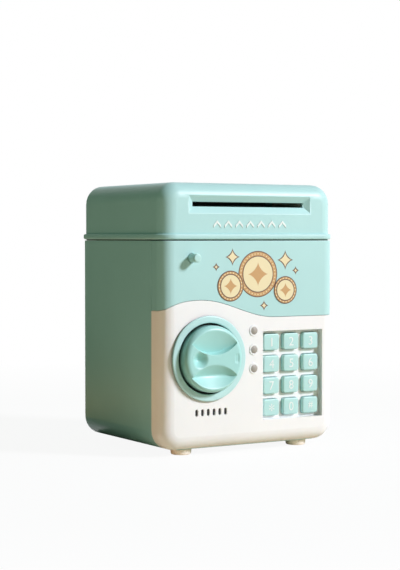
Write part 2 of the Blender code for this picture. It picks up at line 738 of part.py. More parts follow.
def build_feed():
    """Deck under the lid, with the motor and rollers that draw a banknote in."""
    slot_z = LID_FOOT + SLOT_ABOVE_LID_FOOT
    deck_low = LID_FOOT - CLEARANCE
    deck_top = deck_low + DECK_THICKNESS
    inset = LID_INSET + WALL + CLEARANCE
    plan = rounded_rectangle((LEFT + inset, FRONT_Y + inset), (RIGHT - inset, BACK_Y - inset),
                             LID_FRONT_RADIUS - WALL, BACK_RADIUS)
    deck = prism("deck_plate", plan, "Z", deck_low, deck_top)

    note_half = SLOT_WIDTH / 2 + NOTE_SIDE_ROOM
    motor_y = FRONT_Y + LID_INSET + WALL + MOTOR_FROM_FRONT + MOTOR_WIDTH / 2
    motor_z = deck_top + CLEARANCE + MOTOR_HEIGHT / 2
    roller_z = slot_z - NOTE_GAP / 2 - ROLLER_RADIUS
    idler_z = slot_z + NOTE_GAP / 2 + IDLER_RADIUS
    spread = GEAR_MODULE * (GEAR_TEETH + PINION_TEETH) / 2
    roller_y = motor_y + math.sqrt(spread ** 2 - (roller_z - motor_z) ** 2)
    cheek_front = motor_y - MOTOR_WIDTH / 2
    cheek_back = max(roller_y + ROLLER_RADIUS, cheek_front + CHEEK_LENGTH)
    cheek_top = idler_z + IDLER_RADIUS
    for side, sign in (("left", -1), ("right", 1)):
        x = sorted((sign * note_half, sign * (note_half + CHEEK_THICKNESS)))
        unite(deck, box("cheek_" + side, (x[0], cheek_front, deck_top - BITE), (x[1], cheek_back, cheek_top)))

    guide_y = cheek_back + CLEARANCE + NOTE_DROP
    note_hole = box("note_hole", (-note_half, roller_y + ROLLER_RADIUS + CLEARANCE, deck_low - WALL),
                    (note_half, guide_y - GUIDE_THICKNESS, deck_top + BITE))
    coin_y = BACK_Y - COIN_SLOT_FROM_BACK
    coin_half = COIN_SLOT_LENGTH / 2 + WALL
    coin_hole = box("coin_hole", (-coin_half, coin_y - 2 * COIN_SLOT_WIDTH, deck_low - WALL),
                    (coin_half, coin_y + 2 * COIN_SLOT_WIDTH, deck_top + WALL))
    axle_span = 2 * (note_half + 2 * CHEEK_THICKNESS)
    holes = [cylinder("deck_hole_" + name, (x, y, deck_low - WALL), "Z", SCREW_HOLE,
                      DECK_THICKNESS + 2 * WALL, 8) for name, (x, y) in lid_screw_places().items()]
    holes.append(cylinder("roller_bore", (-axle_span / 2, roller_y, roller_z), "X", AXLE_HOLE,
                          axle_span, 16))
    holes.append(cylinder("idler_bore", (-axle_span / 2, roller_y, idler_z), "X", AXLE_HOLE,
                          axle_span, 16))
    holes.append(cylinder("motor_bore", (-axle_span / 2, motor_y, motor_z), "X", MOTOR_HOLE,
                          axle_span / 2, 12))
    subtract(deck, note_hole, coin_hole, cluster("deck_holes", holes))
    part(deck, "white")

    gear_right = -note_half - CHEEK_THICKNESS - CLEARANCE
    gear_left = gear_right - GEAR_WIDTH
    roller_axis = axis_empty("feed_roller_axis", (0, roller_y, roller_z))
    idler_axis = axis_empty("idler_roller_axis", (0, roller_y, idler_z))
    pinion_axis = axis_empty("motor_pinion_axis", (0, motor_y, motor_z))
    end = note_half + CHEEK_THICKNESS - CLEARANCE
    half = ROLLER_LENGTH / 2
    rollers = (("feed_roller", ROLLER_RADIUS, gear_left, roller_z, roller_axis),
               ("idler_roller", IDLER_RADIUS, -end, idler_z, idler_axis))
    for name, radius, axle_start, z, carrier in rollers:
        profile = [(0, end), (AXLE_RADIUS, end), (AXLE_RADIUS, half), (radius, half), (radius, -half),
                   (AXLE_RADIUS, -half), (AXLE_RADIUS, axle_start), (0, axle_start)]
        part(turned(name, profile, (0, roller_y, z), "X", 16), "rubber", carrier)

    mesh_angle = math.atan2(motor_z - roller_z, motor_y - roller_y)
    teeth = gear_outline(GEAR_TEETH, (roller_y, roller_z), mesh_angle)
    gear = prism("roller_gear", teeth, "X", gear_left, gear_right)
    gear_bore = cylinder("gear_bore", (gear_left - WALL, roller_y, roller_z), "X", AXLE_HOLE,
                         GEAR_WIDTH + 2 * WALL, 16)
    subtract(gear, gear_bore)
    part(gear, "white", roller_axis)
    half_pitch = math.pi / PINION_TEETH
    teeth = gear_outline(PINION_TEETH, (motor_y, motor_z), mesh_angle + math.pi + half_pitch)
    pinion = prism("motor_pinion", teeth, "X", gear_left, gear_right)
    pinion_bore = cylinder("pinion_bore", (gear_left - WALL, motor_y, motor_z), "X", MOTOR_HOLE,
                           GEAR_WIDTH + 2 * WALL, 12)
    subtract(pinion, pinion_bore)
    part(pinion, "brass", pinion_axis)

    motor_left = -note_half + CLEARANCE
    can_low = (motor_y - MOTOR_WIDTH / 2, motor_z - MOTOR_HEIGHT / 2)
    can_high = (motor_y + MOTOR_WIDTH / 2, motor_z + MOTOR_HEIGHT / 2)
    can = rounded_rectangle(can_low, can_high, MOTOR_HEIGHT / 3, steps=3)
    motor = prism("feed_motor", can, "X", motor_left, motor_left + MOTOR_LENGTH)
    shaft = cylinder("motor_shaft", (gear_left, motor_y, motor_z), "X", MOTOR_SHAFT_RADIUS,
                     motor_left - gear_left + BITE, 12)
    unite(motor, shaft)
    part(motor, "steel")

    bend = guide_y - cheek_back - CLEARANCE
    bend_z = cheek_top - bend
    outer = arc(guide_y - bend, bend_z, bend, 90, 0)
    inner = arc(guide_y - bend, bend_z, bend - GUIDE_THICKNESS, 0, 90)
    seat = deck_top + CLEARANCE
    outline = outer + [(guide_y, seat), (guide_y - GUIDE_THICKNESS, seat)] + inner
    part(prism("note_guide", outline, "X", -note_half, note_half), "white")

    head_seat = DOOR_TOP - LEDGE_THICKNESS - CLEARANCE
    for name, (x, y) in lid_screw_places().items():
        length = deck_top - head_seat + SCREW_LENGTH / 2
        part(screw("lid_screw_" + name, (x, y, head_seat), HEAD_DOWN, length), "steel")


def door_shell(name):
    """Whole outer shell of the door, before it is cut along the wave."""
    outline = tub_outline(WIDTH / 2, FOOT_HEIGHT, DOOR_TOP, CORNER_RADIUS)
    shell = prism(name, outline, "Y", FRONT_Y, SEAM_Y - SEAM_GAP)
    front = on_plane(1, FRONT_Y)
    top = on_plane(2, DOOR_TOP)
    round_edges(shell, FRONT_RADIUS, lambda a, b: 1.0 if front(a, b) and not top(a, b) else 0.0)
    inside = tub_outline(WIDTH / 2 - WALL, CAVITY_BOTTOM, DOOR_TOP - WALL, CORNER_RADIUS - WALL)
    hollow = prism(name + "_hollow", inside, "Y", FRONT_Y + WALL, SEAM_Y + WALL)
    inner_front = on_plane(1, FRONT_Y + WALL)
    inner_top = on_plane(2, DOOR_TOP - WALL)
    round_edges(hollow, FRONT_RADIUS - WALL,
                lambda a, b: 1.0 if inner_front(a, b) and not inner_top(a, b) else 0.0, 4)
    relief = box(name + "_hinge_relief", (HINGE_X - HINGE_RELIEF, SEAM_Y - HINGE_RELIEF, RELIEF_BOTTOM),
                 (RIGHT + WALL, SEAM_Y + WALL, DOOR_TOP + WALL))
    subtract(shell, hollow, relief)
    return shell


def boss(name, place, length):
    """Screw post on the inside of a door panel."""
    x, z = place
    return cylinder(name, (x, depth(WALL - BITE), z), "Y", BOSS_RADIUS, length, 12)


def boss_pilot(name, place):
    x, z = place
    return cylinder(name, (x, depth(COVER_FRONT - SCREW_LENGTH), z), "Y", SCREW_HOLE,
                    SCREW_LENGTH + WALL, 8)


def build_door_panels(door):
    places = cover_screw_places()
    post = COVER_FRONT - CLEARANCE - WALL + BITE

    upper = door_shell("door_upper_panel")
    below = wave_line(CLEARANCE / 2) + [(RIGHT + WALL, -WALL), (LEFT - WALL, -WALL)]
    subtract(upper, prism("below_wave", below, "Y", FRONT_Y - WALL, SEAM_Y + WALL))
    unite(upper, boss("boss_upper_left", places["upper_left"], post),
          boss("boss_upper_right", places["upper_right"], post))
    button = (LEFT + BUTTON_FROM_LEFT, depth(-WALL), DOOR_TOP - BUTTON_FROM_TOP)
    button_hole = cylinder("button_hole", button, "Y", BUTTON_RADIUS + CLEARANCE, 3 * WALL, 20)
    subtract(upper, cluster("upper_holes", [button_hole, boss_pilot("pilot_upper_left", places["upper_left"]),
                                            boss_pilot("pilot_upper_right", places["upper_right"])]))
    part(upper, "mint", door)

    lower = door_shell("door_lower_panel")
    above = wave_line(-CLEARANCE / 2) + [(RIGHT + WALL, TOP), (LEFT - WALL, TOP)]
    sill_room = box("sill_room", (-SILL_HALF_WIDTH - CLEARANCE, SEAM_Y - SILL_REACH - CLEARANCE, 0),
                    (SILL_HALF_WIDTH + CLEARANCE, SEAM_Y + WALL, FOOT_HEIGHT + WALL + CLEARANCE))
    subtract(lower, prism("above_wave", above, "Y", FRONT_Y - WALL, SEAM_Y + WALL), sill_room)

    recess_low = (KEYPAD_LEFT, KEYPAD_BOTTOM)
    recess_high = (KEYPAD_LEFT + KEYPAD_WIDTH, KEYPAD_TOP)
    block_back = RECESS_DEPTH + RECESS_WALL
    block = box("keypad_block",
                (recess_low[0] - RECESS_WALL, depth(WALL - BITE), recess_low[1] - RECESS_WALL),
                (recess_high[0] + RECESS_WALL, depth(block_back), recess_high[1] + RECESS_WALL))
    collars = [cylinder("collar_" + name, (LIGHT_X, depth(-COLLAR_PROUD), z), "Y", COLLAR_RADIUS,
                        COLLAR_PROUD + BITE, 20) for name, z in light_places().items()]
    unite(lower, block, boss("boss_lower_left", places["lower_left"], post),
          boss("boss_lower_right", places["lower_right"], post), cluster("collars", collars))

    recess = box("keypad_recess", (recess_low[0], depth(-WALL), recess_low[1]),
                 (recess_high[0], depth(RECESS_DEPTH), recess_high[1]))
    key_holes = []
    for name, (x, z) in key_places().items():
        low = (x - KEY_WIDTH / 2 - CLEARANCE, z - KEY_HEIGHT / 2 - CLEARANCE)
        high = (x + KEY_WIDTH / 2 + CLEARANCE, z + KEY_HEIGHT / 2 + CLEARANCE)
        outline = rounded_rectangle(low, high, KEY_CORNER, steps=2)
        key_holes.append(prism("hole_" + name, outline, "Y", depth(0), depth(block_back + WALL)))
    holes = [cylinder("hole_" + name, (LIGHT_X, depth(-WALL), z), "Y", LIGHT_RADIUS + CLEARANCE, 3 * WALL, 14)
             for name, z in light_places().items()]
    dial_hole = RING_BORE / 2 + RING_WALL + CLEARANCE
    holes.append(cylinder("dial_hole", (DIAL_X, depth(-WALL), DIAL_Z), "Y", dial_hole, 3 * WALL, 40))
    slot_x, slot_z = speaker_place()
    for i in range(SPEAKER_SLOTS):
        x = slot_x + (i - (SPEAKER_SLOTS - 1) / 2) * SPEAKER_SLOT_PITCH
        outline = rounded_rectangle((x - SPEAKER_SLOT_WIDTH / 2, slot_z - SPEAKER_SLOT_HEIGHT / 2),
                                    (x + SPEAKER_SLOT_WIDTH / 2, slot_z + SPEAKER_SLOT_HEIGHT / 2),
                                    SPEAKER_SLOT_CORNER, steps=2)
        holes.append(prism("speaker_slot_%d" % i, outline, "Y", depth(-WALL), depth(2 * WALL)))
    holes += [boss_pilot("pilot_lower_left", places["lower_left"]),
              boss_pilot("pilot_lower_right", places["lower_right"])]
    subtract(lower, recess, cluster("key_holes", key_holes), cluster("lower_holes", holes))
    part(lower, "white", door)


def speaker_place():
    z = DIAL_Z - RING_DIAMETER / 2 - SPEAKER_BELOW_RING
    return DIAL_X + SPEAKER_RIGHT_OF_DIAL, z


def battery_box_span():
    """Low and high corners, in x and z, of the battery box, and the depth of its open back."""
    width = CELL_LENGTH + CELL_NUB + 2 * CONTACT_SPACE + 2 * BOX_WALL
    height = CELL_COUNT * 2 * CELL_RADIUS + (CELL_COUNT + 1) * CLEARANCE + 2 * BOX_WALL
    high = (RIGHT - BOX_FROM_RIGHT, DOOR_TOP - WALL - CLEARANCE - BOX_WALL)
    low = (high[0] - width, high[1] - height)
    back = WALL + CLEARANCE + BOX_WALL + 2 * CELL_RADIUS + 2 * CLEARANCE
    return low, high, back


def build_door_back(door):
    low, high, box_back = battery_box_span()
    tab_x = (low[0] + high[0]) / 2
    tab_z = low[1] - BATTERY_TAB / 2
    gap = WALL + CLEARANCE
    outline = tub_outline(WIDTH / 2 - gap, CAVITY_BOTTOM + CLEARANCE, DOOR_TOP - gap, CORNER_RADIUS - gap)
    cover = prism("door_back_cover", outline, "Y", depth(COVER_FRONT), depth(COVER_BACK))
    trim = box("cover_trim", (HINGE_X - HINGE_RELIEF - CLEARANCE, depth(0), 0), (RIGHT, SEAM_Y + WALL, TOP))
    _, _, (bottom, top) = knuckle_spans()
    knuckle = cylinder("door_knuckle", (HINGE_X, SEAM_Y, bottom), "Z", HINGE_RADIUS, top - bottom, 16)
    web = box("door_web", (HINGE_X - HINGE_RELIEF - WALL, depth(COVER_FRONT), bottom),
              (HINGE_X, depth(COVER_BACK), top))
    tab_post = cylinder("battery_post", (tab_x, depth(COVER_BACK - BITE), tab_z), "Y", BOSS_RADIUS,
                        box_back - COVER_BACK + BITE, 16)
    window = box("battery_window", (low[0] - CLEARANCE, depth(0), low[1] - CLEARANCE),
                 (high[0] + CLEARANCE, SEAM_Y + WALL, high[1] + CLEARANCE))
    holes = [cylinder("cover_hole_" + name, (x, depth(COVER_FRONT - WALL), z), "Y", SCREW_HOLE,
                      COVER_THICKNESS + 2 * WALL, 8) for name, (x, z) in cover_screw_places().items()]
    holes.append(cylinder("shaft_hole", (DIAL_X, depth(COVER_FRONT - WALL), DIAL_Z), "Y", SHAFT_HOLE,
                          COVER_THICKNESS + 2 * WALL, 24))
    holes.append(cylinder("battery_pilot", (tab_x, depth(COVER_FRONT - WALL), tab_z), "Y", SCREW_HOLE,
                          box_back - COVER_FRONT + 2 * WALL, 8))
    subtract(cover, trim, window)
    unite(cover, web, knuckle, tab_post)
    subtract(cover, hinge_bore("cover_pin_bore"), cluster("cover_holes", holes))
    part(cover, "mint", door)

    for name, (x, z) in cover_screw_places().items():
        part(screw("cover_screw_" + name, (x, depth(COVER_BACK + CLEARANCE), z), HEAD_TO_BACK), "steel", door)

    tray = box("battery_box", (low[0], depth(WALL + CLEARANCE), low[1]), (high[0], depth(box_back), high[1]))
    room = box("battery_room", (low[0] + BOX_WALL, depth(WALL + CLEARANCE + BOX_WALL), low[1] + BOX_WALL),
               (high[0] - BOX_WALL, depth(box_back + WALL), high[1] - BOX_WALL))
    subtract(tray, room)
    part(tray, "black", door)
    cell_y = depth(WALL + 2 * CLEARANCE + BOX_WALL + CELL_RADIUS)
    for i in range(CELL_COUNT):
        z = low[1] + BOX_WALL + CLEARANCE + CELL_RADIUS + i * (2 * CELL_RADIUS + CLEARANCE)
        start = low[0] + BOX_WALL + CONTACT_SPACE
        profile = [(0, CELL_LENGTH + CELL_NUB), (CELL_NUB_RADIUS, CELL_LENGTH + CELL_NUB),
                   (CELL_NUB_RADIUS, CELL_LENGTH), (CELL_RADIUS, CELL_LENGTH), (CELL_RADIUS, 0), (0, 0)]
        part(turned("battery_cell_%d" % (i + 1), profile, (start, cell_y, z), "X", 14), "cell", door)

    plate_front = box_back + CLEARANCE
    plate = box("battery_cover", (low[0], depth(plate_front), low[1]),
                (high[0], depth(plate_front + BATTERY_COVER_THICKNESS), high[1]))
    tab = box("battery_tab", (tab_x - BATTERY_TAB / 2, depth(plate_front), low[1] - BATTERY_TAB),
              (tab_x + BATTERY_TAB / 2, depth(plate_front + BATTERY_COVER_THICKNESS), low[1] + BATTERY_TAB))
    unite(plate, tab)
    subtract(plate, cylinder("battery_hole", (tab_x, depth(0), tab_z), "Y", SCREW_HOLE, DEPTH, 8))
    part(plate, "mint", door)
    seat = depth(plate_front + BATTERY_COVER_THICKNESS + CLEARANCE)
    part(screw("battery_screw", (tab_x, seat, tab_z), HEAD_TO_BACK), "steel", door)


def build_dial(door):
    ring_in = RING_BORE / 2
    ring_out = RING_DIAMETER / 2
    tube_out = ring_in + RING_WALL
    floor_back = RING_FLOOR_DEPTH + RING_FLOOR
    profile = [(ring_in + RING_CHAMFER, RING_PROUD)]
    rim_round = RING_PROUD - CLEARANCE
    profile += arc(ring_out - rim_round, CLEARANCE, rim_round, 90, 0, 3)
    profile += [(tube_out, CLEARANCE), (tube_out, -floor_back),
                (SHAFT_HOLE, -floor_back), (SHAFT_HOLE, -RING_FLOOR_DEPTH),
                (ring_in, -RING_FLOOR_DEPTH), (ring_in, RING_PROUD - RING_CHAMFER)]
    part(turned("dial_ring", profile, (DIAL_X, FRONT_Y, DIAL_Z), "Y", 40, closed=True), "mint", door)

    dial = axis_empty("dial_axis", (DIAL_X, FRONT_Y, DIAL_Z), door)
    radius = KNOB_DIAMETER / 2
    tongue_front = DOOR_DEPTH + 2 * CLEARANCE + KEEPER_THICKNESS + BITE
    tongue_back = tongue_front + TONGUE_THICKNESS
    shoulder = tongue_front - CLEARANCE
    hollow_top = KNOB_PROUD - SCOOP_DEPTH - KNOB_HOLLOW_WALL
    profile = [(0, KNOB_PROUD)]
    profile += arc(radius - KNOB_ROUND, KNOB_PROUD - KNOB_ROUND, KNOB_ROUND, 90, 0, 4)
    profile += [(radius, -KNOB_SKIRT), (radius - KNOB_HOLLOW_WALL, -KNOB_SKIRT),
                (radius - KNOB_HOLLOW_WALL, hollow_top), (SHAFT_RADIUS, hollow_top),
                (SHAFT_RADIUS, -shoulder), (SPIGOT_RADIUS, -shoulder),
                (SPIGOT_RADIUS, CLEARANCE - tongue_back), (SCREW_HOLE, CLEARANCE - tongue_back),
                (SCREW_HOLE, -tongue_back + SCREW_LENGTH), (0, -tongue_back + SCREW_LENGTH)]
    knob = turned("dial_knob", profile, (DIAL_X, FRONT_Y, DIAL_Z), "Y", 40)
    face = FRONT_Y - KNOB_PROUD
    bow = (SCOOP_HALF_LENGTH ** 2 + SCOOP_HALF_WIDTH ** 2) / (2 * SCOOP_HALF_WIDTH)
    half_angle = math.degrees(math.asin(SCOOP_HALF_LENGTH / bow))
    lens = [(bow * math.cos(a) - bow + SCOOP_HALF_WIDTH, bow * math.sin(a))
            for a in (math.radians(half_angle * (1 - i / 4)) for i in range(9))]
    lens[0] = (0, SCOOP_HALF_LENGTH)
    lens[-1] = (0, -SCOOP_HALF_LENGTH)
    for label, sign in (("upper", 1), ("lower", -1)):
        place = (DIAL_X, face, DIAL_Z + sign * SCOOP_OFFSET)
        scoop = turned("scoop_" + label, lens, place, "X", 16)
        flatten = Matrix.Diagonal((1, SCOOP_DEPTH / SCOOP_HALF_WIDTH, 1, 1))
        scoop.matrix_world = Matrix.Translation(place) @ flatten @ AXIS_TURN["X"]
        subtract(knob, scoop)
    ball = (DIMPLE_RADIUS ** 2 + DIMPLE_DEPTH ** 2) / (2 * DIMPLE_DEPTH)
    bm = bmesh.new()
    bmesh.ops.create_uvsphere(bm, u_segments=14, v_segments=16, radius=ball, matrix=Matrix.Translation(
        (DIAL_X - DIMPLE_OFFSET, face - ball + DIMPLE_DEPTH, DIAL_Z)) @ Matrix.Rotation(math.pi / 2, 4, "X"))
    subtract(knob, blank("dimple", bm))
    part(knob, "mint", dial)

    disc_front = floor_back + DISC_RUNNING_GAP
    disc_back = disc_front + DISC_THICKNESS
    disc = cylinder("lock_disc", (DIAL_X, depth(disc_front), DIAL_Z), "Y", DISC_RADIUS, DISC_THICKNESS, 40)
    up = box("notch_up", (DIAL_X - NOTCH_WIDTH / 2, depth(0), DIAL_Z + DISC_RADIUS - PLUNGER_TRAVEL),
             (DIAL_X + NOTCH_WIDTH / 2, depth(DOOR_DEPTH), DIAL_Z + 2 * DISC_RADIUS))
    side = box("notch_side", (DIAL_X + DISC_RADIUS - PLUNGER_TRAVEL, depth(0), DIAL_Z - NOTCH_WIDTH / 2),
               (DIAL_X + 2 * DISC_RADIUS, depth(DOOR_DEPTH), DIAL_Z + NOTCH_WIDTH / 2))
    bore = cylinder("disc_bore", (DIAL_X, depth(0), DIAL_Z), "Y", SHAFT_HOLE, DOOR_DEPTH, 24)
    subtract(disc, up, side, bore)
    part(disc, "white", dial)

    length = DIAL_X - (LEFT + WALL) - TONGUE_TIP_GAP
    half = TONGUE_WIDTH / 2
    outline = arc(DIAL_X, DIAL_Z, half, 180, 360, 8) + arc(DIAL_X, DIAL_Z + length - half, half, 0, 180, 8)
    tongue = prism("lock_tongue", outline, "Y", depth(tongue_front), depth(tongue_back))
    spigot_hole = SPIGOT_RADIUS + CLEARANCE
    subtract(tongue, cylinder("tongue_bore", (DIAL_X, depth(0), DIAL_Z), "Y", spigot_hole, DEPTH, 20))
    part(tongue, "steel", dial)
    seat = depth(tongue_back + CLEARANCE)
    length = SCREW_LENGTH - CLEARANCE
    fastener = screw("tongue_screw", (DIAL_X, seat, DIAL_Z), HEAD_TO_BACK, length, TONGUE_HEAD_RADIUS)
    part(fastener, "steel", dial)

    plunger_y = depth((disc_front + disc_back) / 2)
    tip = DIAL_Z + DISC_RADIUS + 2 * CLEARANCE
    coil_low = DIAL_Z + ring_out + WALL
    coil_high = coil_low + SOLENOID_HEIGHT
    coil_half_depth = depth(COVER_FRONT - CLEARANCE) - plunger_y
    coil = box("lock_solenoid", (DIAL_X - SOLENOID_WIDTH / 2, plunger_y - coil_half_depth, coil_low),
               (DIAL_X + SOLENOID_WIDTH / 2, plunger_y + coil_half_depth, coil_high))
    plunger_top = coil_high - WALL - CLEARANCE
    mouth = (DIAL_X, plunger_y, coil_low - WALL)
    subtract(coil, cylinder("plunger_bore", mouth, "Z", PLUNGER_RADIUS + CLEARANCE, SOLENOID_HEIGHT, 20))
    part(coil, "black", door)
    carrier = axis_empty("plunger_axis", (DIAL_X, plunger_y, tip), door)
    foot = (DIAL_X, plunger_y, tip)
    part(cylinder("solenoid_plunger", foot, "Z", PLUNGER_RADIUS, plunger_top - tip, 20), "steel", carrier)


def build_keypad(door):
    flange_front = RECESS_DEPTH + RECESS_WALL + CLEARANCE
    flange_back = flange_front + KEY_FLANGE_THICKNESS
    for name, (x, z) in key_places().items():
        low = (x - KEY_WIDTH / 2, z - KEY_HEIGHT / 2)
        high = (x + KEY_WIDTH / 2, z + KEY_HEIGHT / 2)
        face = depth(KEY_SINK)
        key = prism(name, rounded_rectangle(low, high, KEY_CORNER, steps=2), "Y", face, depth(flange_back))
        front = on_plane(1, face)
        round_edges(key, KEY_ROUND, lambda a, b, front=front: 1.0 if front(a, b) else 0.0, 1)
        grow = KEY_FLANGE
        unite(key, box("flange_" + name, (low[0] - grow, depth(flange_front), low[1] - grow),
                       (high[0] + grow, depth(flange_back - SLIVER), high[1] + grow)))
        part(key, "mint", axis_empty(name + "_axis", (x, face, z), door))

    dome_front = flange_back + KEY_TRAVEL + CLEARANCE
    mat_front = dome_front + DOME_HEIGHT
    mat_back = mat_front + MAT_THICKNESS
    low = (KEYPAD_LEFT - RECESS_WALL, KEYPAD_BOTTOM - RECESS_WALL)
    high = (KEYPAD_LEFT + KEYPAD_WIDTH + RECESS_WALL, KEYPAD_TOP + RECESS_WALL)
    mat = box("keypad_mat", (low[0], depth(mat_front), low[1]), (high[0], depth(mat_back), high[1]))
    rise = DOME_HEIGHT + MAT_THICKNESS / 2
    domes = [cylinder("dome_" + name, (x, depth(dome_front), z), "Y", DOME_RADIUS, rise, 8)
             for name, (x, z) in key_places().items()]
    unite(mat, cluster("domes", domes))
    part(mat, "rubber", door)

    board_front = mat_back + CLEARANCE
    board_back = min(board_front + BOARD_THICKNESS, COVER_FRONT - CLEARANCE)
    board = box("circuit_board", (LIGHT_X - COLLAR_RADIUS, depth(board_front), low[1]),
                (high[0], depth(board_back), high[1] + COLLAR_RADIUS))
    part(board, "board", door)

    for name, z in light_places().items():
        back = board_front - CLEARANCE
        rim = WALL + CLEARANCE
        pipe = LIGHT_RADIUS - LIGHT_FLANGE
        wide = LIGHT_RADIUS + LIGHT_FLANGE
        crown = LIGHT_RADIUS - LIGHT_PROUD
        profile = [(0, LIGHT_PROUD + COLLAR_PROUD), (crown, LIGHT_PROUD / 2 + COLLAR_PROUD),
                   (LIGHT_RADIUS, COLLAR_PROUD), (LIGHT_RADIUS, -rim), (wide, -rim),
                   (wide, -rim - LIGHT_FLANGE), (pipe, -rim - LIGHT_FLANGE), (pipe, -back), (0, -back)]
        part(turned(name, profile, (LIGHT_X, FRONT_Y, z), "Y", 14), "grey lens", door)


def build_sound(door):
    x, z = speaker_place()
    front = WALL + CLEARANCE
    back = front + SPEAKER_THICKNESS
    rim = front + SPEAKER_RIM
    profile = [(0, -front), (SPEAKER_RADIUS, -front), (SPEAKER_RADIUS, -rim),
               (MAGNET_RADIUS, -rim - SPEAKER_CONE), (MAGNET_RADIUS, -back), (0, -back)]
    part(turned("speaker", profile, (x, FRONT_Y, z), "Y", 16), "black", door)

    x = LEFT + BUTTON_FROM_LEFT
    z = DOOR_TOP - BUTTON_FROM_TOP
    tip = BUTTON_TIP_ROUND
    rim = WALL + CLEARANCE
    stem = BUTTON_STEM_RADIUS
    profile = [(0, BUTTON_PROUD), (BUTTON_RADIUS - tip, BUTTON_PROUD), (BUTTON_RADIUS, BUTTON_PROUD - tip),
               (BUTTON_RADIUS, -rim), (BUTTON_RADIUS + BUTTON_FLANGE, -rim),
               (BUTTON_RADIUS + BUTTON_FLANGE, -rim - BUTTON_FLANGE), (stem, -rim - BUTTON_FLANGE),
               (stem, -BUTTON_STEM), (0, -BUTTON_STEM)]
    carrier = axis_empty("music_button_axis", (x, FRONT_Y, z), door)
    part(turned("music_button", profile, (x, FRONT_Y, z), "Y", 16), "mint", carrier)
    half = SWITCH_SIZE / 2
    part(box("button_switch", (x - half, depth(BUTTON_STEM + BUTTON_TRAVEL + CLEARANCE), z - half),
             (x + half, depth(COVER_FRONT - CLEARANCE), z + half)), "black", door)


def main():
    build_body()
    build_lid()
    build_feed()
    door = axis_empty("door_axis", (HINGE_X, SEAM_Y, FOOT_HEIGHT))
    build_door_panels(door)
    build_door_back(door)
    build_dial(door)
    build_keypad(door)
    build_sound(door)


main()
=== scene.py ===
"""Looks of a toy cash-machine savings bank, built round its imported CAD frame.

Units are metres, +Z is up and the front faces -Y. Each finished piece sits at the origin, with its place
in its mesh.
"""

import logging
import math
from collections.abc import Callable, Iterable, Sequence
from dataclasses import dataclass
from enum import Enum
from functools import cache
from itertools import combinations
from typing import NamedTuple

import bmesh
import bpy
from mathutils import Matrix, Vector
from mathutils.geometry import delaunay_2d_cdt


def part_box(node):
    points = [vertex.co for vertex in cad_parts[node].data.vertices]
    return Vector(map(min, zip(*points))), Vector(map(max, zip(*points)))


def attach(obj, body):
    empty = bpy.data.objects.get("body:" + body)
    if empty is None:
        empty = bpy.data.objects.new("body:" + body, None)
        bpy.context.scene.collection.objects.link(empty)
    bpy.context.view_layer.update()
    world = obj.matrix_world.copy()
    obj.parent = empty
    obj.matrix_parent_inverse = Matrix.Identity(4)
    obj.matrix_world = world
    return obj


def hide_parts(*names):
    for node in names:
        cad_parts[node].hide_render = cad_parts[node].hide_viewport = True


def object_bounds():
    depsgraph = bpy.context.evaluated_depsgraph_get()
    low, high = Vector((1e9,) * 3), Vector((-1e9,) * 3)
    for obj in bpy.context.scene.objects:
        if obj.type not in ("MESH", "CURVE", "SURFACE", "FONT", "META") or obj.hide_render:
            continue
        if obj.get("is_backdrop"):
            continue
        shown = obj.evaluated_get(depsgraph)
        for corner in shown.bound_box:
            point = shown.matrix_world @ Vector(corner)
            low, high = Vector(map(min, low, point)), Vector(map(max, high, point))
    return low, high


LOG = logging.getLogger("cash_machine")

Colour = tuple[float, float, float]
Outline = list[tuple[float, float]]
Profile = Sequence[tuple[float, float]]

MERGE_DISTANCE = 1e-6
FLAT_ANGLE = math.radians(0.4)
MILLIMETRES = 1000
FILL_TOLERANCE = 1e-6
AREA_TOLERANCE = 0.002
WHITE = (1.0, 1.0, 1.0, 1.0)


def srgb(red: int, green: int, blue: int) -> Colour:
    """Linear colour of a screen colour.

    Args:
        red: Red from 0 to 255.
        green: Green from 0 to 255.
        blue: Blue from 0 to 255.

    Returns:
        The linear colour that a shader socket takes.
    """
    def linear(level: int) -> float:
        """Linear light of one screen level."""
        share = level / 255
        return share / 12.92 if share <= 0.04045 else ((share + 0.055) / 1.055) ** 2.4

    return linear(red), linear(green), linear(blue)


class Facing(Enum):
    """Ways that a turned piece can face."""

    FRONT = (0.0, -1.0, 0.0)
    BACK = (0.0, 1.0, 0.0)
    UP = (0.0, 0.0, 1.0)
    DOWN = (0.0, 0.0, -1.0)

    @property
    def turn(self) -> Matrix:
        """Rotation that takes +Z this way."""
        return Vector((0, 0, 1)).rotation_difference(Vector(self.value)).to_matrix().to_4x4()


class Span(NamedTuple):
    """Lowest and highest corner of a CAD node."""

    low: Vector
    high: Vector

    @property
    def middle(self) -> Vector:
        """Middle of the box."""
        return (self.low + self.high) / 2

    @property
    def size(self) -> Vector:
        """Edge lengths of the box."""
        return self.high - self.low


def span(node: str) -> Span:
    """Box of a CAD node at rest."""
    low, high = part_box(node)
    return Span(Vector(low), Vector(high))


def door_front() -> float:
    """Y of the door's flat front."""
    return span("door_upper_panel").low.y


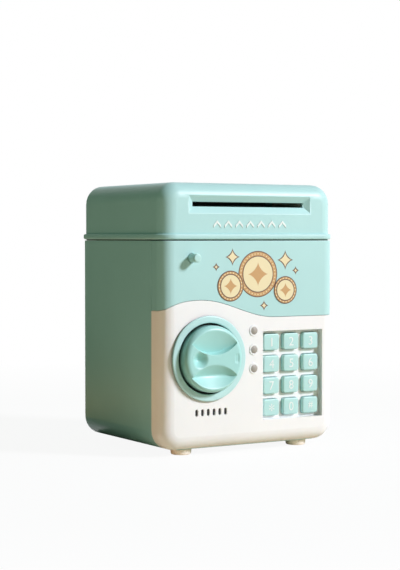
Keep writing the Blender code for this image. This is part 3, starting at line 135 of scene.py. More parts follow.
class NodeBench:
    """Adds and wires the nodes of one tree."""

    def __init__(self, tree: bpy.types.NodeTree) -> None:
        """Keep the tree that the nodes go into."""
        self.tree = tree

    def add(self, kind: str, inputs: dict | None = None, **settings: object) -> bpy.types.Node:
        """Add a node.

        Args:
            kind: Blender's type name of the node.
            inputs: Values or output sockets for the node's inputs, by name or number.
            settings: Properties of the node itself.

        Returns:
            The new node.
        """
        node = self.tree.nodes.new(kind)
        for name, value in settings.items():
            setattr(node, name, value)
        self.fill(node, inputs or {})
        return node

    def fill(self, node: bpy.types.Node, inputs: dict) -> None:
        """Set or wire the inputs of a node.

        Args:
            node: The node.
            inputs: Values or output sockets, by the input's name or number.
        """
        for key, value in inputs.items():
            socket = node.inputs[key]
            if isinstance(value, bpy.types.NodeSocket):
                self.tree.links.new(value, socket)
            else:
                socket.default_value = value

    def place(self) -> bpy.types.NodeSocket:
        """Socket with the Object coordinates of the surface."""
        return self.add("ShaderNodeTexCoord").outputs["Object"]

    def noise(self, place: bpy.types.NodeSocket, scale: object, detail: float) -> bpy.types.NodeSocket:
        """Result socket of a noise texture."""
        return self.add("ShaderNodeTexNoise", {"Vector": place, "Scale": scale, "Detail": detail}).outputs[0]

    def math(self, operation: str, first: object, second: object = 0.0) -> bpy.types.NodeSocket:
        """Result socket of a Math node."""
        return self.add("ShaderNodeMath", {0: first, 1: second}, operation=operation).outputs[0]

    def mix(self, share: object, first: object, second: object) -> bpy.types.NodeSocket:
        """Result socket of a colour mix."""
        node = self.add("ShaderNodeMix", {0: share, 6: first, 7: second}, data_type="RGBA")
        return node.outputs[2]


class SurfaceEffects:
    """Shader groups that several finishes share, each built once."""

    tone_scale: float = 16.0
    sheen_scale: float = 95.0
    rub_scale: float = 240.0
    rub_least: float = 0.45
    rub_samples: int = 6
    mark_stretch: tuple[float, float, float] = (0.08, 1.0, 1.0)
    patch_scale: float = 130.0
    patch_gloss: float = 0.18
    patch_tone: float = 0.25
    patch_least: float = 0.87

    @classmethod
    def start(cls, name: str, inputs: dict[str, str], outputs: dict[str, str]) -> tuple:
        """Make an empty group.

        Args:
            name: Name of the group.
            inputs: Socket type of each named input.
            outputs: Socket type of each named output.

        Returns:
            The bench, the input node and the output node of the new group.
        """
        tree = bpy.data.node_groups.new(name, "ShaderNodeTree")
        for direction, sockets in (("INPUT", inputs), ("OUTPUT", outputs)):
            for label, kind in sockets.items():
                tree.interface.new_socket(label, in_out=direction, socket_type="NodeSocket" + kind)
        bench = NodeBench(tree)
        return bench, bench.add("NodeGroupInput"), bench.add("NodeGroupOutput")

    @classmethod
    @cache
    def moulded(cls) -> bpy.types.NodeTree:
        """Slow drift of tone, a faint sheen pattern and the fine grain that a mould leaves."""
        bench, inside, outside = cls.start(
            "moulded_surface",
            {"Colour": "Color", "Tone": "Float", "Gloss": "Float", "Drift": "Float", "Grain Size": "Float"},
            {"Colour": "Color", "Roughness": "Float", "Height": "Float"})
        place = bench.place()
        slow = bench.noise(place, cls.tone_scale, 3.0)
        flow = bench.noise(place, cls.sheen_scale, 4.0)
        swing = bench.math("MULTIPLY", bench.math("SUBTRACT", slow, 0.5), inside.outputs["Tone"])
        value = bench.math("ADD", swing, 1.0)
        shade = bench.add("ShaderNodeHueSaturation", {"Value": value, "Color": inside.outputs["Colour"]})
        sheen = bench.math("MULTIPLY", bench.math("SUBTRACT", flow, 0.5), inside.outputs["Drift"])
        rough = bench.math("ADD", inside.outputs["Gloss"], sheen)
        grain = bench.noise(place, bench.math("DIVIDE", 1.0, inside.outputs["Grain Size"]), 2.0)
        bench.fill(outside, {"Colour": shade.outputs[0], "Roughness": rough, "Height": grain})
        return bench.tree

    @classmethod
    @cache
    def rubbed_edges(cls) -> bpy.types.NodeTree:
        """Paler tone along outer edges, broken up by noise, where hands and moulds wear them."""
        bench, inside, outside = cls.start(
            "rubbed_edges", {"Colour": "Color", "Edge Colour": "Color", "Width": "Float", "Amount": "Float"},
            {"Colour": "Color", "Mask": "Float"})
        closeness = bench.add("ShaderNodeAmbientOcclusion", {"Distance": inside.outputs["Width"]},
                              inside=True, samples=cls.rub_samples).outputs["AO"]
        broken = bench.math("ADD", bench.noise(bench.place(), cls.rub_scale, 3.0), cls.rub_least)
        edge = bench.math("MULTIPLY", bench.math("SUBTRACT", 1.0, closeness), broken)
        mask = bench.add("ShaderNodeMath", {0: edge, 1: inside.outputs["Amount"]}, operation="MULTIPLY",
                         use_clamp=True).outputs[0]
        colour = bench.mix(mask, inside.outputs["Colour"], inside.outputs["Edge Colour"])
        bench.fill(outside, {"Colour": colour, "Mask": mask})
        return bench.tree

    @classmethod
    @cache
    def brushed(cls) -> bpy.types.NodeTree:
        """Fine parallel marks on plated metal, with duller patches."""
        bench, inside, outside = cls.start(
            "brushed_metal", {"Colour": "Color", "Gloss": "Float", "Mark Size": "Float"},
            {"Colour": "Color", "Roughness": "Float", "Height": "Float"})
        place = bench.place()
        stretched = bench.add("ShaderNodeMapping", {"Vector": place, "Scale": cls.mark_stretch}).outputs[0]
        marks = bench.noise(stretched, bench.math("DIVIDE", 1.0, inside.outputs["Mark Size"]), 3.0)
        patch = bench.noise(place, cls.patch_scale, 4.0)
        swing = bench.math("MULTIPLY", bench.math("SUBTRACT", patch, 0.5), cls.patch_gloss)
        rough = bench.math("ADD", inside.outputs["Gloss"], swing)
        value = bench.math("ADD", bench.math("MULTIPLY", patch, cls.patch_tone), cls.patch_least)
        shade = bench.add("ShaderNodeHueSaturation", {"Value": value, "Color": inside.outputs["Colour"]})
        bench.fill(outside, {"Colour": shade.outputs[0], "Roughness": rough, "Height": marks})
        return bench.tree


def new_material(name: str) -> tuple[bpy.types.Material, NodeBench, bpy.types.Node]:
    """Make a material.

    Args:
        name: Name of the finish.

    Returns:
        The material, a bench for its nodes and its Principled shader.
    """
    material = bpy.data.materials.new(name)
    material.use_nodes = True
    return material, NodeBench(material.node_tree), material.node_tree.nodes["Principled BSDF"]


@dataclass(frozen=True)
class Plastic:
    """Moulded plastic or rubber."""

    name: str
    colour: Colour
    gloss: float = 0.30
    tone: float = 0.10
    drift: float = 0.10
    grain: float = 0.10
    grain_size: float = 0.0005
    edge: float = 0.25
    edge_width: float = 0.0006
    edge_colour: Colour = (0.95, 0.97, 0.95)
    specular: float = 0.5
    subsurface: float = 0.0
    scatter_scale: float = 0.004
    scatter_radius: Colour = (1.0, 0.55, 0.30)

    def material(self) -> bpy.types.Material:
        """Build the finish as a material."""
        material, bench, shader = new_material(self.name)
        body = bench.add("ShaderNodeGroup", {
            "Colour": (*self.colour, 1.0), "Tone": self.tone, "Gloss": self.gloss, "Drift": self.drift,
            "Grain Size": self.grain_size}, node_tree=SurfaceEffects.moulded())
        rub = bench.add("ShaderNodeGroup", {
            "Colour": body.outputs["Colour"], "Edge Colour": (*self.edge_colour, 1.0),
            "Width": self.edge_width, "Amount": self.edge}, node_tree=SurfaceEffects.rubbed_edges())
        bump = bench.add("ShaderNodeBump", {"Strength": self.grain, "Distance": self.grain_size / 4,
                                            "Height": body.outputs["Height"]})
        bench.fill(shader, {
            "Base Color": rub.outputs["Colour"], "Roughness": body.outputs["Roughness"],
            "Normal": bump.outputs["Normal"], "Specular IOR Level": self.specular,
            "Subsurface Weight": self.subsurface, "Subsurface Radius": self.scatter_radius,
            "Subsurface Scale": self.scatter_scale})
        return material


@dataclass(frozen=True)
class Metal:
    """Plated or cut metal with fine marks."""

    name: str
    colour: Colour
    gloss: float = 0.28
    mark_size: float = 0.0003
    mark_height: float = 0.15

    def material(self) -> bpy.types.Material:
        """Build the finish as a material."""
        material, bench, shader = new_material(self.name)
        body = bench.add("ShaderNodeGroup", {
            "Colour": (*self.colour, 1.0), "Gloss": self.gloss, "Mark Size": self.mark_size},
            node_tree=SurfaceEffects.brushed())
        bump = bench.add("ShaderNodeBump", {"Strength": self.mark_height, "Distance": self.mark_size / 4,
                                            "Height": body.outputs["Height"]})
        bench.fill(shader, {
            "Base Color": body.outputs["Colour"], "Roughness": body.outputs["Roughness"],
            "Normal": bump.outputs["Normal"], "Metallic": 1.0})
        return material


@dataclass(frozen=True)
class BoardLacquer:
    """Green lacquer over the copper runs of a circuit board."""

    name: str
    lacquer: Colour
    run: Colour
    run_pitch: float = 0.0022
    run_wave: float = 0.12
    run_level: float = 0.07
    run_height: float = 0.00005
    run_bump: float = 0.4
    tone: float = 0.2
    gloss: float = 0.35
    drift: float = 0.1

    def material(self) -> bpy.types.Material:
        """Build the finish as a material."""
        material, bench, shader = new_material(self.name)
        bent = bench.add("ShaderNodeTexVoronoi", {"Vector": bench.place(), "Scale": 1 / (4 * self.run_pitch)},
                         distance="CHEBYCHEV")
        ripple = bench.math("PINGPONG", bent.outputs["Distance"], self.run_wave)
        run = bench.math("GREATER_THAN", ripple, self.run_level)
        colour = bench.mix(run, (*self.lacquer, 1.0), (*self.run, 1.0))
        body = bench.add("ShaderNodeGroup", {
            "Colour": colour, "Tone": self.tone, "Gloss": self.gloss, "Drift": self.drift,
            "Grain Size": self.run_pitch / 3}, node_tree=SurfaceEffects.moulded())
        bump = bench.add("ShaderNodeBump", {"Strength": self.run_bump, "Distance": self.run_height,
                                            "Height": run})
        bench.fill(shader, {
            "Base Color": body.outputs["Colour"], "Roughness": body.outputs["Roughness"],
            "Normal": bump.outputs["Normal"]})
        return material


@dataclass(frozen=True)
class CellWrap:
    """Plain two-colour wrap of a dry cell."""

    name: str
    body_colour: Colour
    band_colour: Colour
    band_from: float
    tone: float = 0.15
    gloss: float = 0.3
    drift: float = 0.15
    grain_size: float = 0.0008

    def material(self) -> bpy.types.Material:
        """Build the finish as a material."""
        material, bench, shader = new_material(self.name)
        along = bench.add("ShaderNodeSeparateXYZ", {0: bench.place()}).outputs[0]
        band = bench.math("GREATER_THAN", along, self.band_from)
        colour = bench.mix(band, (*self.body_colour, 1.0), (*self.band_colour, 1.0))
        body = bench.add("ShaderNodeGroup", {
            "Colour": colour, "Tone": self.tone, "Gloss": self.gloss, "Drift": self.drift,
            "Grain Size": self.grain_size}, node_tree=SurfaceEffects.moulded())
        bench.fill(shader, {"Base Color": body.outputs["Colour"], "Roughness": body.outputs["Roughness"]})
        return material


class Finishes:
    """Every finish of the object, built once and found by name."""

    def __init__(self) -> None:
        """Build the materials."""
        kinds = (
            Plastic("mint_shell", srgb(182, 222, 221), gloss=0.38, specular=0.32,
                    edge_colour=srgb(216, 240, 238)),
            Plastic("mint_grip", srgb(170, 222, 218), gloss=0.36, specular=0.48,
                    edge_colour=srgb(214, 240, 238)),
            # Painted shade: near-black teal for the deep faces of the dial's cup, where the gap round the
            # knob lies in shade.
            Plastic("mint_well", srgb(16, 40, 37), gloss=0.5, edge=0.0),
            Plastic("mint_ring", srgb(192, 229, 228), gloss=0.32, specular=0.45,
                    edge_colour=srgb(222, 242, 240)),
            Plastic("mint_keys", srgb(185, 226, 223), gloss=0.34, edge_colour=srgb(226, 243, 242), edge=0.40,
                    subsurface=0.10, scatter_scale=0.002),
            Plastic("white_shell", srgb(243, 243, 243), gloss=0.36, edge_colour=srgb(250, 250, 248),
                    subsurface=0.05, scatter_scale=0.0015),
            Plastic("white_inner", srgb(226, 224, 214), gloss=0.42),
            Plastic("pale_marks", srgb(234, 243, 241), gloss=0.36, edge=0.1),
            Plastic("foot_cream", srgb(250, 244, 234), gloss=0.45, edge_colour=srgb(250, 245, 237)),
            Plastic("lamp_grey", srgb(164, 157, 148), gloss=0.52, grain_size=0.0009, edge=0.1),
            Plastic("dark_rubber", srgb(46, 46, 48), gloss=0.75, grain=0.5, edge_colour=srgb(90, 90, 90)),
            Plastic("black_case", srgb(28, 28, 30), gloss=0.45, grain=0.3, edge_colour=srgb(70, 70, 72)),
            Plastic("print_cream", srgb(236, 222, 180), gloss=0.38, edge=0.0),
            Plastic("print_tan", srgb(203, 160, 108), gloss=0.38, edge=0.0),
            Plastic("print_brown", srgb(110, 80, 65), gloss=0.38, edge=0.0),
            Metal("plated_steel", srgb(196, 196, 200)),
            Metal("cut_brass", srgb(214, 178, 104), gloss=0.34),
            BoardLacquer("board_green", srgb(26, 92, 58), srgb(64, 134, 82)),
            CellWrap("cell_wrap", srgb(62, 96, 72), srgb(196, 160, 92), span("battery_cell_1").middle.x),
        )
        self.made = {kind.name: kind.material() for kind in kinds}

    def __getitem__(self, name: str) -> bpy.types.Material:
        """Material of that name."""
        return self.made[name]


def mesh_piece(name: str, bm: bmesh.types.BMesh, materials: Sequence[bpy.types.Material],
               sharp: float | None = 40.0) -> bpy.types.Object:
    """Turn a bmesh into an object of the scene.

    Args:
        name: Name of the piece.
        bm: Its geometry, which is freed.
        materials: Materials in the order of the faces' numbers.
        sharp: Angle in degrees past which an edge stays sharp, or nothing to keep the edges' own marks.

    Returns:
        The new object.
    """
    mesh = bpy.data.meshes.new(name)
    bm.to_mesh(mesh)
    bm.free()
    for material in materials:
        mesh.materials.append(material)
    for polygon in mesh.polygons:
        polygon.use_smooth = True
    if sharp is not None:
        mesh.set_sharp_from_angle(angle=math.radians(sharp))
    piece = bpy.data.objects.new(name, mesh)
    bpy.context.scene.collection.objects.link(piece)
    return piece


def plain_mesh(piece: bpy.types.Object) -> bpy.types.Object:
    """Apply a piece's modifiers for good.

    Args:
        piece: Object with live modifiers.

    Returns:
        A new object under the same name, with no modifier left.
    """
    graph = bpy.context.evaluated_depsgraph_get()
    mesh = bpy.data.meshes.new_from_object(piece.evaluated_get(graph), depsgraph=graph)
    name = piece.name
    bpy.data.objects.remove(piece, do_unlink=True)
    mesh.name = name
    done = bpy.data.objects.new(name, mesh)
    bpy.context.scene.collection.objects.link(done)
    return done


@dataclass
class EasedCopy:
    """Copy of a CAD node whose sharp outer edges are eased."""

    node: str
    edge: float
    lift: Callable[[Vector], float] | None = None
    steps: int = 3
    sharp: float = math.radians(35)
    border_shares: tuple[float, ...] = (1.6, 0.8, 0.4)
    least_width: float = 6.0
    least_edge: float = 0.3
    room_share: float = 0.62

    def build(self, name: str, material: bpy.types.Material) -> bpy.types.Object:
        """Make the copy.

        Args:
            name: Name of the new piece.
            material: Finish of the piece.

        Returns:
            The new piece.
        """
        bm = bmesh.new()
        bm.from_mesh(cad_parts[self.node].data)
        bmesh.ops.remove_doubles(bm, verts=bm.verts, dist=MERGE_DISTANCE)
        if self.lift:
            for vert in bm.verts:
                vert.co.z += self.lift(vert.co)
        bmesh.ops.dissolve_limit(bm, angle_limit=FLAT_ANGLE, verts=bm.verts, edges=bm.edges)
        bmesh.ops.remove_doubles(bm, verts=bm.verts, dist=self.least_edge * self.edge)
        bm.normal_update()
        plain = set()
        for number in self.number_flats(bm):
            bordered = self.bordered(bm, number)
            if bordered is None:
                plain.add(number)
            else:
                bm.free()
                bm = bordered
        self.weigh_edges(bm, plain)
        piece = mesh_piece(name, bm, [material], None)
        bevel = piece.modifiers.new("eased edges", "BEVEL")
        bevel.width = self.edge
        bevel.segments = self.steps
        bevel.limit_method = "WEIGHT"
        bevel.use_clamp_overlap = False
        even = piece.modifiers.new("even shading", "WEIGHTED_NORMAL")
        even.weight = 90
        even.keep_sharp = True
        piece = plain_mesh(piece)
        for label in ("flat", "bevel_weight_edge"):
            piece.data.attributes.remove(piece.data.attributes[label])
        return piece

    def number_flats(self, bm: bmesh.types.BMesh) -> list[int]:
        """Number the faces by the flat that they lie in.

        Args:
            bm: The copy.

        Returns:
            The numbers of the flats that are wide enough for a border.
        """
        layer = bm.faces.layers.int.new("flat")
        wide = []
        count = 0
        for start in bm.faces:
            if start[layer]:
                continue
            count += 1
            start[layer] = count
            flat = [start]
            for face in flat:
                for edge in face.edges:
                    if len(edge.link_faces) == 2 and edge.calc_face_angle() < FLAT_ANGLE:
                        for other in edge.link_faces:
                            if not other[layer]:
                                other[layer] = count
                                flat.append(other)
            rim = sum(edge.calc_length() for edge in rim_edges(flat))
            width = 2 * sum(face.calc_area() for face in flat) / rim
            if width > self.least_width * self.edge and (len(flat) > 1 or len(start.verts) > 4):
                wide.append(count)
        return wide

    def bordered(self, bm: bmesh.types.BMesh, number: int) -> bmesh.types.BMesh | None:
        """Give a flat a narrow border, so that easing its rim leaves its middle alone.

        Args:
            bm: The copy, which stays as it is.
            number: Number of the flat.

        Returns:
            A new bmesh with the border, or nothing where no width of border fits.
        """
        for share in self.border_shares:
            trial = bm.copy()
            layer = trial.faces.layers.int["flat"]
            flat = [face for face in trial.faces if face[layer] == number]
            bmesh.ops.inset_region(trial, faces=flat, thickness=share * self.edge, use_even_offset=True,
                                   use_boundary=True)
            if refill(trial, flat):
                return trial
            trial.free()
        return None

    def weigh_edges(self, bm: bmesh.types.BMesh, plain: set[int]) -> None:
        """Say how far each outer edge is eased, by the room beside it.

        Args:
            bm: The copy.
            plain: Flats whose edges stay sharp.
        """
        bm.normal_update()
        layer = bm.faces.layers.int["flat"]
        weight = bm.edges.layers.float.new("bevel_weight_edge")
        for edge in bm.edges:
            if len(edge.link_faces) != 2 or edge.calc_face_angle() < self.sharp:
                continue
            if not edge.is_convex or any(face[layer] in plain for face in edge.link_faces):
                edge.smooth = False
                continue
            room = min(face.calc_area() for face in edge.link_faces) / edge.calc_length()
            edge[weight] = min(1.0, self.room_share * room / self.edge)
        waiting = [vert for vert in bm.verts if any(edge[weight] for edge in vert.link_edges)]
        while waiting:
            vert = waiting.pop()
            for first, second in combinations([edge for edge in vert.link_edges if edge[weight]], 2):
                if first[weight] == second[weight] or not runs_on(first, second, vert):
                    continue
                wider = first if first[weight] > second[weight] else second
                wider[weight] = min(first[weight], second[weight])
                waiting += [vert, wider.other_vert(vert)]


def runs_on(first: bmesh.types.BMEdge, second: bmesh.types.BMEdge, vert: bmesh.types.BMVert) -> bool:
    """Whether two edges go on into each other at a point, without a corner."""
    ways = [(edge.other_vert(vert).co - vert.co).normalized() for edge in (first, second)]
    return ways[0].dot(ways[1]) < -0.5


def rim_edges(faces: Sequence[bmesh.types.BMFace]) -> list[bmesh.types.BMEdge]:
    """Edges between some faces and the rest of their mesh."""
    inside = set(faces)
    edges = {edge: None for face in faces for edge in face.edges}
    return [edge for edge in edges if any(face not in inside for face in edge.link_faces)]


def refill(bm: bmesh.types.BMesh, flat: list[bmesh.types.BMFace]) -> bool:
    """Put clean triangles in place of the faces of a flat.

    Args:
        bm: The mesh.
        flat: Faces in one plane, which are removed.

    Returns:
        Whether the flat's rim is clean enough to be filled; if not, nothing has changed.
    """
    rim = rim_edges(flat)
    normal = flat[0].normal.copy()
    drop = max(range(3), key=lambda axis: abs(normal[axis]))
    first, second = (axis for axis in range(3) if axis != drop)
    verts = list({vert: None for edge in rim for vert in edge.verts})
    number = {vert: i for i, vert in enumerate(verts)}
    points = [Vector((vert.co[first], vert.co[second])) * MILLIMETRES for vert in verts]
    lines = [(number[edge.verts[0]], number[edge.verts[1]]) for edge in rim]
    places, _, triangles, origins, _, _ = delaunay_2d_cdt(points, lines, [], 0, FILL_TOLERANCE)
    if any(len(origin) != 1 for origin in origins):
        return False
    chosen = []
    area = 0.0
    for triangle in triangles:
        corners = [places[i] for i in triangle]
        middle = (corners[0] + corners[1] + corners[2]) / 3
        if is_inside(middle, [(points[i], points[j]) for i, j in lines]):
            chosen.append([verts[origins[i][0]] for i in triangle])
            area += abs((corners[1] - corners[0]).cross(corners[2] - corners[0])) / 2
    wanted = sum(face.calc_area() for face in flat) * abs(normal[drop]) * MILLIMETRES ** 2
    if abs(area - wanted) > AREA_TOLERANCE * wanted:
        return False
    bmesh.ops.delete(bm, geom=flat, context="FACES_ONLY")
    for corners in chosen:
        face = bm.faces.new(corners)
        face.normal_update()
        if face.normal.dot(normal) < 0:
            face.normal_flip()
    loose = [edge for edge in bm.edges if not edge.link_faces]
    bmesh.ops.delete(bm, geom=loose, context="EDGES")
    return True


def is_inside(point: Vector, lines: Sequence[tuple[Vector, Vector]]) -> bool:
    """Whether a flat point is inside closed outlines, by counting the lines to its right."""
    crossings = 0
    for start, end in lines:
        if (start.y > point.y) != (end.y > point.y):
            share = (point.y - start.y) / (end.y - start.y)
            crossings += point.x < start.x + share * (end.x - start.x)
    return crossings % 2 == 1


def lathe(bm: bmesh.types.BMesh, profile: Profile, place: Vector, turn: Matrix, steps: int,
          closed: bool = False, material: int = 0) -> None:
    """Turn a profile round an axis into a bmesh.

    Args:
        bm: Where the faces go.
        profile: (radius, height) points; a radius of nothing is a pole.
        place: Foot of the axis.
        turn: Turns +Z onto the axis.
        steps: Facets round the axis.
        closed: Whether the profile's end joins its start.
        material: Number of the faces' material.
    """
    matrix = Matrix.Translation(place) @ turn
    rings = []
    for radius, height in profile:
        if radius < MERGE_DISTANCE:
            rings.append([bm.verts.new(matrix @ Vector((0, 0, height)))])
            continue
        ring = []
        for i in range(steps):
            angle = 2 * math.pi * i / steps
            point = Vector((radius * math.cos(angle), radius * math.sin(angle), height))
            ring.append(bm.verts.new(matrix @ point))
        rings.append(ring)
    pairs = list(zip(rings, rings[1:]))
    if closed:
        pairs.append((rings[-1], rings[0]))
    made = []
    for lower, upper in pairs:
        made += bridge(bm, lower, upper)
    for face in made:
        face.material_index = material
    bmesh.ops.recalc_face_normals(bm, faces=made)


def bridge(bm: bmesh.types.BMesh, lower: list, upper: list) -> list:
    """Faces between two rings of points, either of which may be a single pole.

    Args:
        bm: Where the faces go.
        lower: First ring.
        upper: Second ring, with as many points or one.

    Returns:
        The new faces.
    """
    count = max(len(lower), len(upper))
    made = []
    for i in range(count):
        after = (i + 1) % count
        corners = []
        for ring, number in ((lower, i), (lower, after), (upper, after), (upper, i)):
            vert = ring[number % len(ring)]
            if vert not in corners:
                corners.append(vert)
        if len(corners) > 2:
            made.append(bm.faces.new(corners))
    return made


def arc(centre: tuple[float, float], radius: float, start: float, end: float, steps: int) -> Outline:
    """Points of a circular arc.

    Args:
        centre: Middle of the circle.
        radius: Its radius.
        start: First angle in degrees.
        end: Last angle in degrees.
        steps: Facets of the arc.

    Returns:
        The points from start to end.
    """
    points = []
    for i in range(steps + 1):
        angle = math.radians(start + (end - start) * i / steps)
        points.append((centre[0] + radius * math.cos(angle), centre[1] + radius * math.sin(angle)))
    return points


def round_box(half_width: float, half_height: float, corner: float, steps: int) -> Outline:
    """Rectangle round the origin with round corners.

    Args:
        half_width: Half of its width.
        half_height: Half of its height.
        corner: Radius of its corners.
        steps: Facets of each corner.

    Returns:
        The outline's points.
    """
    x = half_width - corner
    y = half_height - corner
    points = arc((-x, -y), corner, 180, 270, steps) + arc((x, -y), corner, 270, 360, steps)
    return points + arc((x, y), corner, 0, 90, steps) + arc((-x, y), corner, 90, 180, steps)


def flat_mark(bm: bmesh.types.BMesh, outline: Outline, back: float, front: float, material: int = 0,
              hole: Outline | None = None) -> None:
    """Add a thin plate that faces the front.

    Args:
        bm: Where the faces go.
        outline: (x, z) points round the plate.
        back: Y of its back.
        front: Y of its front.
        material: Number of its material.
        hole: Points round a hole, as many as in the outline.
    """
    made = []
    rings = {}
    for label, points in (("rim", outline), ("hole", hole)):
        if points:
            for side, y in (("front", front), ("back", back)):
                rings[label, side] = [bm.verts.new((x, y, z)) for x, z in points]
            made += bridge(bm, rings[label, "back"], rings[label, "front"])
    for side in ("front", "back"):
        if hole:
            made += bridge(bm, rings["rim", side], rings["hole", side])
        else:
            made.append(bm.faces.new(rings["rim", side]))
    for face in made:
        face.material_index = material
    bmesh.ops.recalc_face_normals(bm, faces=made)


class CopyTree:
    """Geometry Nodes trees that repeat one shape, each built once."""

    @classmethod
    def start(cls, name: str, inputs: dict[str, str]) -> tuple[NodeBench, bpy.types.Node]:
        """Make a tree with named inputs.

        Args:
            name: Name of the tree.
            inputs: Socket type of each named input after the geometry.

        Returns:
            The bench and the input node.
        """
        tree = bpy.data.node_groups.new(name, "GeometryNodeTree")
        tree.interface.new_socket("Geometry", in_out="INPUT", socket_type="NodeSocketGeometry")
        for label, kind in inputs.items():
            tree.interface.new_socket(label, in_out="INPUT", socket_type="NodeSocket" + kind)
        tree.interface.new_socket("Geometry", in_out="OUTPUT", socket_type="NodeSocketGeometry")
        bench = NodeBench(tree)
        return bench, bench.add("NodeGroupInput")

    @classmethod
    def end(cls, bench: NodeBench, inside: bpy.types.Node,
            copies: bpy.types.NodeSocket) -> bpy.types.NodeTree:
        """Make the copies real, give them their finish and close the tree."""
        real = bench.add("GeometryNodeRealizeInstances", {0: copies})
        dressed = bench.add("GeometryNodeSetMaterial", {"Geometry": real.outputs[0],
                                                        "Material": inside.outputs["Finish"]})
        bench.add("NodeGroupOutput", {0: dressed.outputs[0]})
        return bench.tree

    @classmethod
    @cache
    def at_points(cls) -> bpy.types.NodeTree:
        """Copies on the points of a mesh, each facing its point's way and turned by chance."""
        bench, inside = cls.start("copies_at_points", {
            "Shape": "Object", "Turn": "Float", "Seed": "Int", "Finish": "Material"})
        shape = bench.add("GeometryNodeObjectInfo", {"Object": inside.outputs["Shape"]})
        facing = bench.add("GeometryNodeInputNamedAttribute", {"Name": "facing"}, data_type="FLOAT_VECTOR")
        aligned = bench.add("FunctionNodeAlignRotationToVector", {"Vector": facing.outputs[0]}, axis="Z")
        chance = bench.add("FunctionNodeRandomValue", {"Max": inside.outputs["Turn"],
                                                       "Seed": inside.outputs["Seed"]}, data_type="FLOAT")
        angle = next(socket for socket in chance.outputs if socket.enabled)
        twist = bench.add("FunctionNodeAxisAngleToRotation", {"Angle": angle})
        turned = bench.add("FunctionNodeRotateRotation", {0: aligned.outputs[0], 1: twist.outputs[0]},
                           rotation_space="LOCAL")
        copies = bench.add("GeometryNodeInstanceOnPoints", {
            "Points": inside.outputs["Geometry"], "Instance": shape.outputs["Geometry"],
            "Rotation": turned.outputs[0]})
        return cls.end(bench, inside, copies.outputs[0])

    @classmethod
    @cache
    def in_a_row(cls) -> bpy.types.NodeTree:
        """Copies at even steps along a straight line."""
        bench, inside = cls.start("copies_in_a_row", {
            "Shape": "Object", "Count": "Int", "Start": "Vector", "Step": "Vector", "Finish": "Material"})
        shape = bench.add("GeometryNodeObjectInfo", {"Object": inside.outputs["Shape"]})
        line = bench.add("GeometryNodeMeshLine", {
            "Count": inside.outputs["Count"], "Start Location": inside.outputs["Start"],
            "Offset": inside.outputs["Step"]}, mode="OFFSET")
        copies = bench.add("GeometryNodeInstanceOnPoints", {
            "Points": line.outputs[0], "Instance": shape.outputs["Geometry"]})
        return cls.end(bench, inside, copies.outputs[0])

    @classmethod
    @cache
    def in_a_ring(cls) -> bpy.types.NodeTree:
        """Copies at even steps round an upright circle that faces the front."""
        bench, inside = cls.start("copies_in_a_ring", {
            "Shape": "Object", "Count": "Int", "Centre": "Vector", "Radius": "Float", "Finish": "Material"})
        shape = bench.add("GeometryNodeObjectInfo", {"Object": inside.outputs["Shape"]})
        circle = bench.add("GeometryNodeMeshCircle", {"Vertices": inside.outputs["Count"],
                                                      "Radius": inside.outputs["Radius"]})
        upright = bench.add("GeometryNodeTransform", {"Geometry": circle.outputs[0],
                                                      "Translation": inside.outputs["Centre"],
                                                      "Rotation": (math.pi / 2, 0.0, 0.0)})
        copies = bench.add("GeometryNodeInstanceOnPoints", {
            "Points": upright.outputs[0], "Instance": shape.outputs["Geometry"]})
        return cls.end(bench, inside, copies.outputs[0])


def grown(name: str, tree: bpy.types.NodeTree, values: dict[str, object],
          points: Iterable[tuple[Vector, Facing]] = ()) -> bpy.types.Object:
    """Run a Geometry Nodes tree and keep its result as a plain mesh.

    Args:
        name: Name of the new piece.
        tree: Tree to run.
        values: Value of each named input.
        points: Places and facings of the copies, for a tree that needs them.

    Returns:
        The new piece.
    """
    mesh = bpy.data.meshes.new(name)
    spots = list(points)
    mesh.from_pydata([place for place, _ in spots], [], [])
    facing = mesh.attributes.new("facing", "FLOAT_VECTOR", "POINT")
    for i, (_, way) in enumerate(spots):
        facing.data[i].vector = way.value
    carrier = bpy.data.objects.new(name, mesh)
    bpy.context.scene.collection.objects.link(carrier)
    modifier = carrier.modifiers.new("copies", "NODES")
    modifier.node_group = tree
    for item in tree.interface.items_tree:
        if item.item_type == "SOCKET" and item.in_out == "INPUT" and item.name in values:
            modifier[item.identifier] = values[item.name]
    piece = plain_mesh(carrier)
    for attribute in [a for a in piece.data.attributes if a.name == "facing"]:
        piece.data.attributes.remove(attribute)
    return piece


def keep(piece: bpy.types.Object, body: str, slot: str, *nodes: str) -> None:
    """Fix a finished piece to its body.

    Args:
        piece: The piece.
        body: CAD body that it rides on.
        slot: Material slot of the record that its finish belongs to; not used.
        nodes: CAD nodes that it stands for.
    """
    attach(piece, body)
    if nodes:
        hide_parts(*nodes)
    LOG.info("%s rides on %s with %d faces", piece.name, body, len(piece.data.polygons))


def discard(*helpers: bpy.types.Object) -> None:
    """Remove the shapes that were only copied from."""
    for helper in helpers:
        bpy.data.objects.remove(helper, do_unlink=True)


